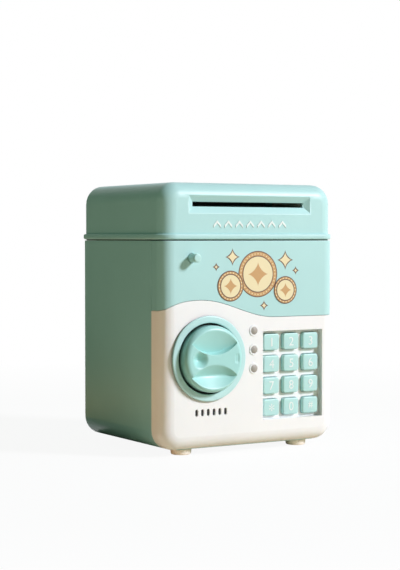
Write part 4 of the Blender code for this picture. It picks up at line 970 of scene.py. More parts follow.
@dataclass
class Housing:
    """Case, lid, door shells and the fixed pieces inside, as eased copies of their solids."""

    finishes: Finishes
    edge: float = 0.00035
    fine_edge: float = 0.00020
    shadow_line: float = 0.0005
    # The dark strip under the lid is painted shade: it fills the seam so that it reads dark.
    shade_strip_inset: float = 0.0012
    shade_strip_width: float = 0.0012
    shade_strip_setback: float = 0.0007
    shade_strip_lift: float = 0.00006
    front_radius: float = 0.0090
    back_radius: float = 0.0050
    corner_steps: int = 8
    fit: float = 0.00002

    def __post_init__(self) -> None:
        """Take the case's box from its solid."""
        self.case = span("body_shell")

    def build(self) -> None:
        """Copy, ease and dress each shell."""
        shells = (
            ("body_shell", "case", "mint_plastic", "mint_shell", self.edge),
            ("top_cover", "case", "mint_plastic", "mint_shell", self.edge),
            ("door_upper_panel", "door", "mint_plastic", "mint_shell", self.edge),
            ("door_lower_panel", "door", "white_plastic", "white_shell", self.edge),
            ("door_back_cover", "door", "mint_plastic", "mint_shell", self.edge),
            ("battery_cover", "door", "mint_plastic", "mint_shell", self.edge),
            ("deck_plate", "case", "white_plastic", "white_inner", self.fine_edge),
            ("note_guide", "case", "white_plastic", "white_inner", self.fine_edge),
            ("lock_tongue", "dial", "steel", "plated_steel", self.fine_edge),
            ("lock_disc", "dial", "white_plastic", "white_inner", self.fine_edge),
            ("roller_gear", "feed", "white_plastic", "white_inner", self.fine_edge / 2),
            ("motor_pinion", "pinion", "brass", "cut_brass", self.fine_edge / 2),
            ("feed_motor", "case", "steel", "plated_steel", self.fine_edge),
            ("battery_box", "door", "black_plastic", "black_case", self.fine_edge),
            ("lock_solenoid", "door", "black_plastic", "black_case", self.fine_edge),
        )
        lifts = {"body_shell": self.rim_lift}
        for node, body, slot, finish, edge in shells:
            piece = EasedCopy(node, edge, lifts.get(node)).build(node + "_shell", self.finishes[finish])
            keep(piece, body, slot, node)
        plain = {
            "hinge_pin": "plated_steel", "solenoid_plunger": "plated_steel", "feed_roller": "dark_rubber",
            "idler_roller": "dark_rubber", "keypad_mat": "dark_rubber", "circuit_board": "board_green",
            "button_switch": "black_case", "speaker": "black_case", "battery_cell_1": "cell_wrap",
            "battery_cell_2": "cell_wrap", "battery_cell_3": "cell_wrap",
        }
        for node, finish in plain.items():
            for material_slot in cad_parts[node].material_slots:
                material_slot.material = self.finishes[finish]
            LOG.info("%s keeps its CAD mesh, in %s", node, finish)
        self.seam_shade_strip()

    def rim_lift(self, point: Vector) -> float:
        """How far a point of the case rises: its top rim drops, for a shadow line under the lid."""
        return -self.shadow_line if point.z > self.case.high.z - self.fit else 0.0

    def seam_shade_strip(self) -> None:
        """Thin dark strip under the lid's wall, all the way round: painted shade that fills the seam and
        darkens it.
        """
        case = self.case
        levels = (case.high.z - self.shadow_line + self.shade_strip_lift, span("top_cover").low.z - self.fit)
        front = door_front() + self.shade_strip_setback
        loops = []
        for inset in (self.shade_strip_inset, self.shade_strip_inset + self.shade_strip_width):
            side = case.size.x / 2 - inset
            near = front + inset
            rear = case.high.y - inset
            outline = []
            corners = ((0, side, rear, self.back_radius), (90, -side, rear, self.back_radius),
                       (180, -side, near, self.front_radius), (270, side, near, self.front_radius))
            for start, x, y, radius in corners:
                turn = radius - inset
                middle = (x - math.copysign(turn, x), y - math.copysign(turn, y))
                outline += arc(middle, turn, start, start + 90, self.corner_steps)
            loops.append([[(x, y, z) for x, y in outline] for z in levels])
        (outer_low, outer_high), (inner_low, inner_high) = loops
        bm = bmesh.new()
        order = (outer_low, outer_high, inner_high, inner_low)
        rings = [[bm.verts.new(place) for place in loop] for loop in order]
        for near_ring, far_ring in zip(rings, rings[1:] + rings[:1]):
            for i in range(len(near_ring)):
                bm.faces.new((near_ring[i - 1], near_ring[i], far_ring[i], far_ring[i - 1]))
        bmesh.ops.recalc_face_normals(bm, faces=bm.faces)
        keep(mesh_piece("lid_gasket", bm, [self.finishes["dark_rubber"]]), "case", "rubber")


@dataclass
class Dial:
    """Cup with a rim, and the knob that turns in it."""

    finishes: Finishes
    steps: int = 160
    rim_proud: float = 0.0020
    rim_gap: float = 0.0010
    bore: float = 0.0239
    bore_round: float = 0.0008
    tube: float = 0.0250
    cup_depth: float = 0.0050
    cup_floor: float = 0.0015
    shaft_hole: float = 0.0043
    painted_shade_start: float = 0.0002
    columns: int = 200
    zone_rows: tuple[int, ...] = (14, 30, 36, 30, 14)
    fillet: float = 0.0035
    scoop_length: float = 0.0179
    scoop_width: float = 0.0081
    upper_offset: float = 0.0110
    lower_offset: float = 0.0118
    scoop_depth: float = 0.0053
    upper_valley: float = -0.84
    lower_valley: float = -0.10
    valley_soft: float = 0.12
    tip_power: float = 0.7
    scoop_rim: float = 0.04
    rim_soft: float = 0.0002
    dimple: float = 0.0063
    dimple_depth: float = 0.0046
    dimple_offset: float = 0.0113
    notch_place: float = 0.0172
    notch_length: float = 0.0015
    notch_width: float = 0.0027
    notch_depth: float = 0.0004
    skirt: float = 0.0042
    skirt_wall: float = 0.0030
    hollow: float = 0.0002
    shaft: float = 0.0040
    spigot: float = 0.0030
    spigot_length: float = 0.0025
    screw_hole: float = 0.0015
    screw_depth: float = 0.0077
    skirt_edge: float = 0.0004
    least_half: float = 0.0015
    tip_share: float = 0.12
    offset_share: float = 0.81
    crease: float = 50.0

    def __post_init__(self) -> None:
        """Take the place and the radius of the knob from its solid."""
        self.box = span("dial_knob")
        self.radius = self.box.size.x / 2
        self.centre = Vector((self.box.middle.x, door_front(), self.box.middle.z))
        self.proud = door_front() - self.box.low.y
        self.bow = (self.scoop_length ** 2 + self.scoop_width ** 2) / (2 * self.scoop_width)

    def build(self) -> None:
        """Make and dress the cup and the knob."""
        self.cup()
        self.knob()

    def cup(self) -> None:
        """Cup with a rounded rim that stands proud of the door; its faces from the rim's lower edge inwards
        are painted shade, dark in the gap round the knob.
        """
        outer = span("dial_ring").size.x / 2
        rounding = self.rim_proud - self.rim_gap
        floor = -self.cup_depth - self.cup_floor
        inner = self.bore + self.bore_round
        profile = arc((inner, self.rim_proud - self.bore_round), self.bore_round, 180, 90, 5)
        profile += arc((outer - rounding, self.rim_gap), rounding, 90, 0, 10)
        profile += [(self.tube, self.rim_gap), (self.tube, floor), (self.shaft_hole, floor),
                    (self.shaft_hole, -self.cup_depth), (self.bore, -self.cup_depth)]
        bm = bmesh.new()
        lathe(bm, profile, self.centre, Facing.FRONT.turn, self.steps, closed=True)
        for face in bm.faces:
            depth = face.calc_center_median().y - self.centre.y
            # Painted shade: faces deeper than the rim's gap take the dark finish.
            face.material_index = int(depth > -self.rim_gap - self.painted_shade_start)
        finishes = [self.finishes["mint_ring"], self.finishes["mint_well"]]
        keep(mesh_piece("dial_cup", bm, finishes), "door", "mint_plastic", "dial_ring")

    def scoop_half(self, x: float) -> float:
        """Half of a scoop's width at a distance from the knob's middle, below nothing past its tips."""
        return math.sqrt(max(0.0, self.bow ** 2 - x ** 2)) - self.bow + self.scoop_width

    def drop(self, x: float, z: float) -> float:
        """How far the knob's face lies below its flat level.

        Args:
            x: Distance to the right of the knob's middle.
            z: Distance above it.

        Returns:
            The depth of the rounded rim, the two scoops, the dimple and the notch together.
        """
        over = max(0.0, math.hypot(x, z) - self.radius + self.fillet)
        rounded = self.fillet - math.sqrt(max(0.0, self.fillet ** 2 - over ** 2))
        scooped = 0.0
        half = self.scoop_half(x)
        if half > 0:
            offset, valley = ((self.upper_offset, self.upper_valley) if z > 0
                              else (self.lower_offset, self.lower_valley))
            across = (abs(z) - offset) / half
            wall = (1 + across) / (1 + valley)
            slope = (1 - across) / (1 - valley)
            level = (wall + slope - math.hypot(wall - slope, self.valley_soft)) / 2
            level = (level + math.hypot(level, self.scoop_rim)) / 2
            scooped = self.scoop_depth * (half / self.scoop_width) ** self.tip_power * level
        away = math.hypot(x + self.dimple_offset, z)
        dimpled = self.dimple_depth * max(0.0, 1 - (away / self.dimple) ** 2) ** 2
        along = smooth_step((self.notch_length - abs(x - self.notch_place)) / self.rim_soft / 2 + 0.5)
        beside = smooth_step((self.notch_width - abs(z)) / self.rim_soft / 2 + 0.5)
        return math.hypot(rounded, scooped) + dimpled + self.notch_depth * along * beside

    def rows(self, x: float) -> list[float]:
        """Heights of the points in one column of the face, closer together at the scoops' rims."""
        chord = math.sqrt(max(0.0, self.radius ** 2 - x ** 2))
        half = self.scoop_half(x)
        if half < self.least_half:
            half = min(self.least_half, self.tip_share * chord)
        above = min(self.upper_offset, self.offset_share * chord)
        below = min(self.lower_offset, self.offset_share * chord)
        stops = (-chord, -below - half, -below + half, above - half, above + half, chord)
        heights = [-chord]
        for count, low, high in zip(self.zone_rows, stops, stops[1:]):
            for i in range(1, count + 1):
                heights.append(low + (high - low) * (1 - math.cos(math.pi * i / count)) / 2)
        return heights

    def knob(self) -> None:
        """Knob with two finger scoops, a grip bar between them, its skirt and its shaft."""
        bm = bmesh.new()
        face = self.box.low.y
        strips = []
        for i in range(self.columns + 1):
            x = -self.radius * math.cos(math.pi * i / self.columns)
            heights = [0.0] if i in (0, self.columns) else self.rows(x)
            strips.append([bm.verts.new((self.centre.x + x, face + self.drop(x, z), self.centre.z + z))
                           for z in heights])
        for left, right in zip(strips, strips[1:]):
            for j in range(max(len(left), len(right)) - 1):
                corners = []
                for strip, row in ((left, j), (right, j), (right, j + 1), (left, j + 1)):
                    vert = strip[min(row, len(strip) - 1)]
                    if vert not in corners:
                        corners.append(vert)
                bm.faces.new(corners)
        rim = [strip[0] for strip in strips] + [strip[-1] for strip in reversed(strips[1:-1])]
        end = self.box.high.y
        inside = self.radius - self.skirt_wall
        front = door_front()
        foot = front + self.skirt
        profile = ((self.radius, foot - self.skirt_edge), (self.radius - self.skirt_edge, foot),
                   (inside, foot), (inside, front + self.hollow), (self.shaft, front + self.hollow),
                   (self.shaft, end - self.spigot_length), (self.spigot, end - self.spigot_length),
                   (self.spigot, end), (self.screw_hole, end), (self.screw_hole, end - self.screw_depth))
        ring = rim
        for radius, y in profile:
            after = []
            for vert in rim:
                share = radius / self.radius
                after.append(bm.verts.new((self.centre.x + (vert.co.x - self.centre.x) * share, y,
                                           self.centre.z + (vert.co.z - self.centre.z) * share)))
            bridge(bm, ring, after)
            ring = after
        bm.faces.new(ring)
        bmesh.ops.recalc_face_normals(bm, faces=bm.faces)
        piece = mesh_piece("dial_grip", bm, [self.finishes["mint_grip"]], self.crease)
        keep(piece, "dial", "mint_plastic", "dial_knob")


def smooth_step(value: float) -> float:
    """Smooth rise from nothing to one as a value does."""
    share = min(1.0, max(0.0, value))
    return share * share * (3 - 2 * share)


def glyph(sign: str, height: float, thickness: float, weight: float) -> bmesh.types.BMesh:
    """Raised plain sign that faces the front, centred on the origin.

    Args:
        sign: One character.
        height: Its height.
        thickness: How far it reaches along Y.
        weight: How far its strokes are fattened to each side.

    Returns:
        The sign as a bmesh.
    """
    text = bpy.data.curves.new("sign", "FONT")
    text.body = sign
    text.size = height
    text.offset = weight
    text.extrude = thickness / 2
    holder = bpy.data.objects.new("sign", text)
    bpy.context.scene.collection.objects.link(holder)
    graph = bpy.context.evaluated_depsgraph_get()
    mesh = bpy.data.meshes.new_from_object(holder.evaluated_get(graph), depsgraph=graph)
    bm = bmesh.new()
    bm.from_mesh(mesh)
    bpy.data.objects.remove(holder, do_unlink=True)
    bpy.data.meshes.remove(mesh)
    bmesh.ops.remove_doubles(bm, verts=bm.verts, dist=MERGE_DISTANCE)
    low = Vector((min(vert.co[axis] for vert in bm.verts) for axis in range(3)))
    high = Vector((max(vert.co[axis] for vert in bm.verts) for axis in range(3)))
    scale = height / (high.y - low.y)
    size = Matrix.Diagonal((scale, scale, 1.0, 1.0))
    bm.transform(Facing.FRONT.turn @ size @ Matrix.Translation(-(low + high) / 2))
    bmesh.ops.recalc_face_normals(bm, faces=bm.faces)
    return bm


@dataclass
class Keypad:
    """Twelve keys with plain raised signs."""

    finishes: Finishes
    signs: tuple[str, ...] = ("1", "2", "3", "4", "5", "6", "7", "8", "9", "*", "0", "#")
    names: tuple[str, ...] = ("1", "2", "3", "4", "5", "6", "7", "8", "9", "star", "0", "hash")
    flange: float = 0.0008
    flange_thickness: float = 0.0009
    flange_corner: float = 0.0006
    corner: float = 0.0018
    fillet: float = 0.0007
    crown: float = 0.00012
    crown_shares: tuple[float, ...] = (0.85, 0.65, 0.45, 0.25)
    corner_steps: int = 6
    sign_height: float = 0.0060
    star_height: float = 0.0050
    hash_height: float = 0.0048
    sign_proud: float = 0.00012
    sign_sunk: float = 0.00010
    one_weight: float = 0.00010

    def build(self) -> None:
        """Make each key, with its sign as a second finish."""
        finishes = [self.finishes["mint_keys"], self.finishes["pale_marks"]]
        for name, sign in zip(self.names, self.signs):
            node = "key_" + name
            bm = self.cap(span(node))
            piece = mesh_piece(node + "_cap", self.with_sign(bm, sign, span(node)), finishes)
            keep(piece, node + "_body", "mint_plastic", node)

    def cap(self, box: Span) -> bmesh.types.BMesh:
        """Key with a flange behind, a rounded edge and a slightly crowned face.

        Args:
            box: Box of the key's solid, flange and all.

        Returns:
            The key as a bmesh.
        """
        middle = box.middle
        half_x = box.size.x / 2 - self.flange
        half_z = box.size.z / 2 - self.flange
        wide = (box.size.x / 2, box.size.z / 2, self.flange_corner)
        body = (half_x, half_z, self.corner)
        levels = [(wide, box.high.y), (wide, box.high.y - self.flange_thickness),
                  (body, box.high.y - self.flange_thickness)]
        edge = box.low.y + self.crown
        for inset, rise in arc((0.0, 0.0), self.fillet, 0, 90, self.corner_steps):
            shrink = self.fillet - inset
            size = (half_x - shrink, half_z - shrink, self.corner - shrink)
            levels.append((size, edge + self.fillet - rise))
        face = levels[-1][0]
        for share in self.crown_shares:
            size = tuple(length * share for length in face)
            levels.append((size, box.low.y + self.crown * share ** 2))
        bm = bmesh.new()
        ring = []
        for size, y in levels:
            outline = round_box(*size, self.corner_steps)
            after = [bm.verts.new((middle.x + x, y, middle.z + z)) for x, z in outline]
            if ring:
                bridge(bm, ring, after)
            else:
                bm.faces.new(after)
            ring = after
        bm.faces.new(ring)
        bmesh.ops.recalc_face_normals(bm, faces=bm.faces)
        return bm

    def with_sign(self, bm: bmesh.types.BMesh, sign: str, box: Span) -> bmesh.types.BMesh:
        """Set a sign on a key's face.

        Args:
            bm: The key.
            sign: The sign.
            box: Box of the key's solid.

        Returns:
            The key with its sign in the second finish.
        """
        height = {"*": self.star_height, "#": self.hash_height}.get(sign, self.sign_height)
        weight = self.one_weight if sign == "1" else 0.0
        raised = glyph(sign, height, self.sign_proud + self.sign_sunk, weight)
        middle = (self.sign_sunk - self.sign_proud) / 2
        raised.transform(Matrix.Translation((box.middle.x, box.low.y + middle, box.middle.z)))
        for face in raised.faces:
            face.material_index = 1
        mesh = bpy.data.meshes.new("sign")
        raised.to_mesh(mesh)
        raised.free()
        bm.from_mesh(mesh)
        bpy.data.meshes.remove(mesh)
        return bm


def turned_shape(name: str, profile: Profile, steps: int) -> bpy.types.Object:
    """Shape to be copied: a profile turned round +Z at the origin."""
    bm = bmesh.new()
    lathe(bm, profile, Vector(), Matrix(), steps)
    return mesh_piece(name, bm, [])


@dataclass
class DoorFittings:
    """Lamp windows, the music button and the dark plugs in the speaker slots."""

    finishes: Finishes
    steps: int = 56
    lamp_nodes: tuple[str, ...] = ("light_top", "light_middle", "light_bottom")
    lens: float = 0.0026
    lens_rise: float = 0.0007
    dome_steps: int = 8
    collar_proud: float = 0.0005
    collar_fit: float = 0.00002
    wall: float = 0.0028
    bezel: float = 0.00288
    lens_flange: float = 0.0034
    flange_thickness: float = 0.0008
    pipe: float = 0.0018
    button: float = 0.0029
    button_round: float = 0.0009
    button_flange: float = 0.0042
    button_flange_thickness: float = 0.0013
    button_stem: float = 0.0017
    plug_count: int = 6
    plug_pitch: float = 0.00454
    plug_size: tuple[float, float] = (0.0021, 0.0046)
    plug_corner: float = 0.00094
    plug_steps: int = 2
    plug_front: float = 0.0011
    plug_back: float = 0.0024

    def build(self) -> None:
        """Make the lamp windows, the button and the plugs."""
        self.lamps()
        self.music_button()
        self.speaker_plugs()

    def lamps(self) -> None:
        """Domed windows, copied to their three places."""
        front = door_front()
        back = front - span(self.lamp_nodes[0]).high.y
        ball = (self.lens ** 2 + self.lens_rise ** 2) / (2 * self.lens_rise)
        reach = math.degrees(math.asin(self.lens / ball))
        dome = arc((0.0, self.collar_proud + self.lens_rise - ball), ball, 90, 90 - reach, self.dome_steps)
        profile = [(0.0, dome[0][1])] + dome[1:]
        profile += [(self.lens, -self.wall), (self.lens_flange, -self.wall),
                    (self.lens_flange, -self.wall - self.flange_thickness),
                    (self.pipe, -self.wall - self.flange_thickness), (self.pipe, back), (0.0, back)]
        shape = turned_shape("lamp_window", profile, self.steps)
        middles = [span(node).middle for node in self.lamp_nodes]
        spots = [(Vector((middle.x, front, middle.z)), Facing.FRONT) for middle in middles]
        piece = grown("lamp_windows", CopyTree.at_points(), {
            "Shape": shape, "Turn": 0.0, "Seed": 1, "Finish": self.finishes["lamp_grey"]}, spots)
        keep(piece, "door", "lens_plastic", *self.lamp_nodes)
        inner = self.lens + self.collar_fit
        sleeve = [(inner, -self.wall), (self.bezel, -self.wall), (self.bezel, self.collar_proud),
                  (inner, self.collar_proud)]
        bm = bmesh.new()
        lathe(bm, sleeve, Vector(), Matrix(), self.steps, closed=True)
        collar = mesh_piece("lamp_bezel", bm, [])
        piece = grown("lamp_bezels", CopyTree.at_points(), {
            "Shape": collar, "Turn": 0.0, "Seed": 1, "Finish": self.finishes["white_shell"]}, spots)
        keep(piece, "door", "white_plastic")
        discard(shape, collar)

    def music_button(self) -> None:
        """Round peg with a softened tip."""
        box = span("music_button")
        front = door_front()
        tip = front - box.low.y
        back = front - box.high.y
        flange = -self.wall - self.button_flange_thickness
        rim = arc((self.button - self.button_round, tip - self.button_round), self.button_round, 90, 0, 6)
        profile = [(0.0, tip)] + rim
        profile += [(self.button, -self.wall), (self.button_flange, -self.wall), (self.button_flange, flange),
                    (self.button_stem, flange), (self.button_stem, back), (0.0, back)]
        bm = bmesh.new()
        lathe(bm, profile, Vector((box.middle.x, front, box.middle.z)), Facing.FRONT.turn, self.steps)
        piece = mesh_piece("music_peg", bm, [self.finishes["mint_keys"]])
        keep(piece, "button", "mint_plastic", "music_button")

    def speaker_plugs(self) -> None:
        """Dark plugs a little way inside the speaker slots, which make the slots look dark."""
        width, height = self.plug_size
        bm = bmesh.new()
        outline = round_box(width / 2, height / 2, self.plug_corner, self.plug_steps)
        flat_mark(bm, outline, self.plug_back, self.plug_front)
        shape = mesh_piece("speaker_plug", bm, [])
        middle = span("speaker").middle
        start = Vector((middle.x - self.plug_pitch * (self.plug_count - 1) / 2, door_front(), middle.z))
        piece = grown("speaker_plugs", CopyTree.in_a_row(), {
            "Shape": shape, "Count": self.plug_count, "Start": start,
            "Step": Vector((self.plug_pitch, 0.0, 0.0)), "Finish": self.finishes["black_case"]})
        keep(piece, "door", "black_plastic")
        discard(shape)


@dataclass
class Feet:
    """Four round feet with pegs."""

    finishes: Finishes
    steps: int = 56
    nodes: tuple[str, ...] = ("foot_front_left", "foot_front_right", "foot_back_left", "foot_back_right")
    taper: float = 0.0006
    rounding: float = 0.0012
    peg: float = 0.0025
    seat: float = 0.0039
    edge: float = 0.0003

    def build(self) -> None:
        """Copy one foot to its four places."""
        box = span(self.nodes[0])
        radius = box.size.x / 2
        low = radius - self.taper
        profile = [(0.0, 0.0)] + arc((low - self.rounding, self.rounding), self.rounding, 270, 360, 6)
        side = radius - self.edge
        profile += [(side, self.seat - self.edge), (side, self.seat), (self.peg, self.seat),
                    (self.peg, box.high.z), (0.0, box.high.z)]
        shape = turned_shape("foot", profile, self.steps)
        spots = [(Vector((span(node).middle.x, span(node).middle.y, 0.0)), Facing.UP) for node in self.nodes]
        piece = grown("feet", CopyTree.at_points(), {
            "Shape": shape, "Turn": 0.0, "Seed": 2, "Finish": self.finishes["foot_cream"]}, spots)
        keep(piece, "case", "cream_plastic", *self.nodes)
        discard(shape)


@dataclass
class Fasteners:
    """Pan-head screws with a cross recess, each turned by chance."""

    finishes: Finishes
    steps: int = 40
    head: float = 0.0017
    shank: float = 0.0012
    arm_length: float = 0.56
    arm_width: float = 0.16
    recess: float = 0.0009
    recess_taper: float = 0.8
    head_round: float = 0.75
    seed: int = 7

    def build(self) -> None:
        """Make the screws of each body."""
        corners = ("lower_left", "lower_right", "upper_left", "upper_right")
        sides = ("front_left", "front_right", "back_left", "back_right")
        sets = (
            ("cover_screws", "door", Facing.BACK, tuple("cover_screw_" + corner for corner in corners)),
            ("battery_screws", "door", Facing.BACK, ("battery_screw",)),
            ("lid_screws", "case", Facing.DOWN, tuple("lid_screw_" + side for side in sides)),
            ("tongue_screws", "dial", Facing.BACK, ("tongue_screw",)),
        )
        for name, body, facing, nodes in sets:
            self.screws(name, body, facing, nodes)

    def screws(self, name: str, body: str, facing: Facing, nodes: tuple[str, ...]) -> None:
        """Copy one screw to the places of its nodes.

        Args:
            name: Name of the new piece.
            body: Body that the screws ride on.
            facing: Way that their heads face.
            nodes: CAD nodes that they stand for.
        """
        box = span(nodes[0])
        radius = box.size.x / 2
        length = (box.size.y if facing is Facing.BACK else box.size.z) - self.head
        shape = self.shape(radius, length)
        spots = []
        for node in nodes:
            place = span(node).middle
            if facing is Facing.BACK:
                place.y = span(node).high.y - self.head
            else:
                place.z = span(node).low.z + self.head
            spots.append((place, facing))
        piece = grown(name, CopyTree.at_points(), {
            "Shape": shape, "Turn": math.pi, "Seed": self.seed,
            "Finish": self.finishes["plated_steel"]}, spots)
        keep(piece, body, "steel", *nodes)
        discard(shape)

    def shape(self, radius: float, length: float) -> bpy.types.Object:
        """Screw whose head is seated at the origin and faces up.

        Args:
            radius: Radius of its head.
            length: Length under its head.

        Returns:
            The shape to be copied.
        """
        bm = bmesh.new()
        rounding = self.head * self.head_round
        rim = arc((radius - rounding, self.head - rounding), rounding, 90, 0, 6)
        profile = rim + [(radius, 0.0), (self.shank, 0.0), (self.shank, -length + self.shank),
                         (0.0, -length)]
        lathe(bm, profile, Vector(), Matrix(), self.steps)
        reach = self.arm_length * radius
        half = self.arm_width * radius
        cross = []
        for quarter in range(4):
            turn = Matrix.Rotation(quarter * math.pi / 2, 2)
            cross += [turn @ Vector(point) for point in ((half, half), (half, reach), (-half, reach))]
        mouth = [bm.verts.new((x, y, self.head)) for x, y in cross]
        taper = self.recess_taper
        floor = [bm.verts.new((taper * x, taper * y, self.head - self.recess)) for x, y in cross]
        bridge(bm, mouth, floor)
        bm.faces.new(floor)
        bmesh.ops.triangle_fill(bm, edges=[edge for edge in bm.edges if edge.is_boundary], use_beauty=True,
                                use_dissolve=False)
        bmesh.ops.recalc_face_normals(bm, faces=bm.faces)
        return mesh_piece("screw", bm, [])


@dataclass
class SlotArrows:
    """Row of small raised arrowheads under the banknote slot, pointing up to it."""

    finishes: Finishes
    count: int = 7
    pitch: float = 0.0088
    width: float = 0.0058
    height: float = 0.0050
    arm: float = 0.0018
    proud: float = 0.00035
    sunk: float = 0.0002
    middle: tuple[float, float] = (-0.0009, 0.1550)
    lid_inset: float = 0.0007

    def build(self) -> None:
        """Make one arrowhead and copy it along the row."""
        half = self.width / 2
        top = self.height / 2
        outline = [(-half, -top), (0.0, top - self.arm), (half, -top), (half, -top + self.arm), (0.0, top),
                   (-half, -top + self.arm)]
        bm = bmesh.new()
        flat_mark(bm, outline, self.sunk, -self.proud)
        shape = mesh_piece("arrowhead", bm, [])
        front = door_front() + self.lid_inset
        start = Vector((self.middle[0] - self.pitch * (self.count - 1) / 2, front, self.middle[1]))
        piece = grown("slot_arrows", CopyTree.in_a_row(), {
            "Shape": shape, "Count": self.count, "Start": start, "Step": Vector((self.pitch, 0.0, 0.0)),
            "Finish": self.finishes["pale_marks"]})
        keep(piece, "case", "mint_plastic")
        discard(shape)


class Coin(NamedTuple):
    """Printed coin: its middle on the door and its radius."""

    x: float
    z: float
    radius: float


class Sparkle(NamedTuple):
    """Printed four-point star: its middle on the door and its reach."""

    x: float
    z: float
    reach: float


@dataclass
class DoorPrint:
    """Plain printed coins and four-point sparkles on the upper half of the door."""

    finishes: Finishes
    coins: tuple[Coin, ...] = (Coin(0.0050, 0.1210, 0.0158), Coin(-0.0172, 0.1132, 0.0104),
                               Coin(0.0275, 0.1098, 0.0095))
    sparkles: tuple[Sparkle, ...] = (Sparkle(-0.0155, 0.1328, 0.0060), Sparkle(0.0275, 0.1305, 0.0068),
                                     Sparkle(-0.0285, 0.1262, 0.0030), Sparkle(0.0362, 0.1232, 0.0030),
                                     Sparkle(0.0100, 0.0995, 0.0036))
    layer: float = 0.00005
    sunk: float = 0.00001
    line: float = 0.0007
    steps: int = 96
    dot: float = 0.00045
    dot_pitch: float = 0.0024
    dot_steps: int = 12
    dot_share: float = 0.9
    face_share: float = 0.80
    star_share: float = 0.52
    sparkle_line: float = 2.2
    under_small: int = 4

    def build(self) -> None:
        """Print the coins, their dotted rims and the sparkles."""
        finishes = [self.finishes["print_brown"], self.finishes["print_tan"], self.finishes["print_cream"]]
        bm = bmesh.new()
        bases = [0 if i == 0 else self.under_small for i in range(len(self.coins))]
        for coin, base in zip(self.coins, bases):
            self.coin(bm, coin, base)
        for sparkle in self.sparkles:
            self.star(bm, sparkle, sparkle.reach, 1, 0)
            self.star(bm, sparkle, sparkle.reach - self.sparkle_line * self.line, 2, 2)
        keep(mesh_piece("door_print", bm, finishes), "door", "mint_plastic")
        for i, (coin, base) in enumerate(zip(self.coins, bases)):
            self.dots(i, coin, base)

    def level(self, number: int) -> float:
        """Y of the front of a layer of ink."""
        return door_front() - self.layer * number

    def disc(self, bm: bmesh.types.BMesh, coin: Coin, radius: float, layer: int, ink: int) -> None:
        """Add a round patch of ink.

        Args:
            bm: Where the faces go.
            coin: Coin whose middle it shares.
            radius: Its radius.
            layer: Number of its layer.
            ink: Number of its ink.
        """
        outline = arc((coin.x, coin.z), radius, 0, 360, self.steps)[:-1]
        flat_mark(bm, outline, self.level(layer - 1) + self.sunk, self.level(layer), ink)

    def coin(self, bm: bmesh.types.BMesh, coin: Coin, base: int) -> None:
        """Coin with an outline, a rim, a pale face and a star in its middle.

        Args:
            bm: Where the faces go.
            coin: The coin.
            base: Layers of ink that lie under it.
        """
        edge = coin.radius * self.face_share
        for radius, ink in ((coin.radius, 0), (coin.radius - self.line, 1), (edge, 0), (edge - self.line, 2)):
            base += 1
            self.disc(bm, coin, radius, base, ink)
        self.star(bm, coin, coin.radius * self.star_share, base + 1, 1)

    def star(self, bm: bmesh.types.BMesh, place: Coin | Sparkle, reach: float, layer: int, ink: int) -> None:
        """Four-point star with hollow sides.

        Args:
            bm: Where the faces go.
            place: What its middle is on.
            reach: Distance from its middle to its points.
            layer: Number of its layer.
            ink: Number of its ink.
        """
        outline = []
        for i in range(self.steps):
            angle = 2 * math.pi * i / self.steps
            outline.append((place.x + reach * math.cos(angle) ** 3, place.z + reach * math.sin(angle) ** 3))
        flat_mark(bm, outline, self.level(layer - 1) + self.sunk, self.level(layer), ink)

    def dots(self, number: int, coin: Coin, base: int) -> None:
        """Dots round a coin's rim.

        Args:
            number: Number of the coin.
            coin: The coin.
            base: Layers of ink that lie under it.
        """
        radius = coin.radius * self.dot_share - self.line / 2
        bm = bmesh.new()
        flat_mark(bm, arc((0.0, 0.0), self.dot, 0, 360, self.dot_steps)[:-1], self.sunk, -self.layer)
        shape = mesh_piece("rim_dot", bm, [])
        piece = grown("coin_dots_%d" % (number + 1), CopyTree.in_a_ring(), {
            "Shape": shape, "Count": round(2 * math.pi * radius / self.dot_pitch),
            "Centre": Vector((coin.x, self.level(base + 2), coin.z)), "Radius": radius,
            "Finish": self.finishes["print_cream"]})
        keep(piece, "door", "mint_plastic")
        discard(shape)


class Lamp(NamedTuple):
    """Soft square lamp that looks at the middle of the object from a direction and a distance.

    The size is its edge length and the power is in watts. Glossy surfaces show it if it is mirrored. It
    lights only the named pieces, or all of them if none is named.
    """

    name: str
    direction: tuple[float, float, float]
    distance: float
    size: float
    power: float
    colour: Colour
    mirrored: bool = True
    only: tuple[str, ...] = ()


def emptied(tree: bpy.types.NodeTree) -> NodeBench:
    """Bench for a tree whose first nodes are removed."""
    tree.nodes.clear()
    return NodeBench(tree)


def seen_rays(bench: NodeBench) -> bpy.types.NodeSocket:
    """Socket that is one for what the eye sees, mirrored or not, and nothing for light that falls."""
    path = bench.add("ShaderNodeLightPath").outputs
    second = bench.math("MAXIMUM", path["Is Glossy Ray"], path["Is Transmission Ray"])
    return bench.math("MAXIMUM", path["Is Camera Ray"], second)


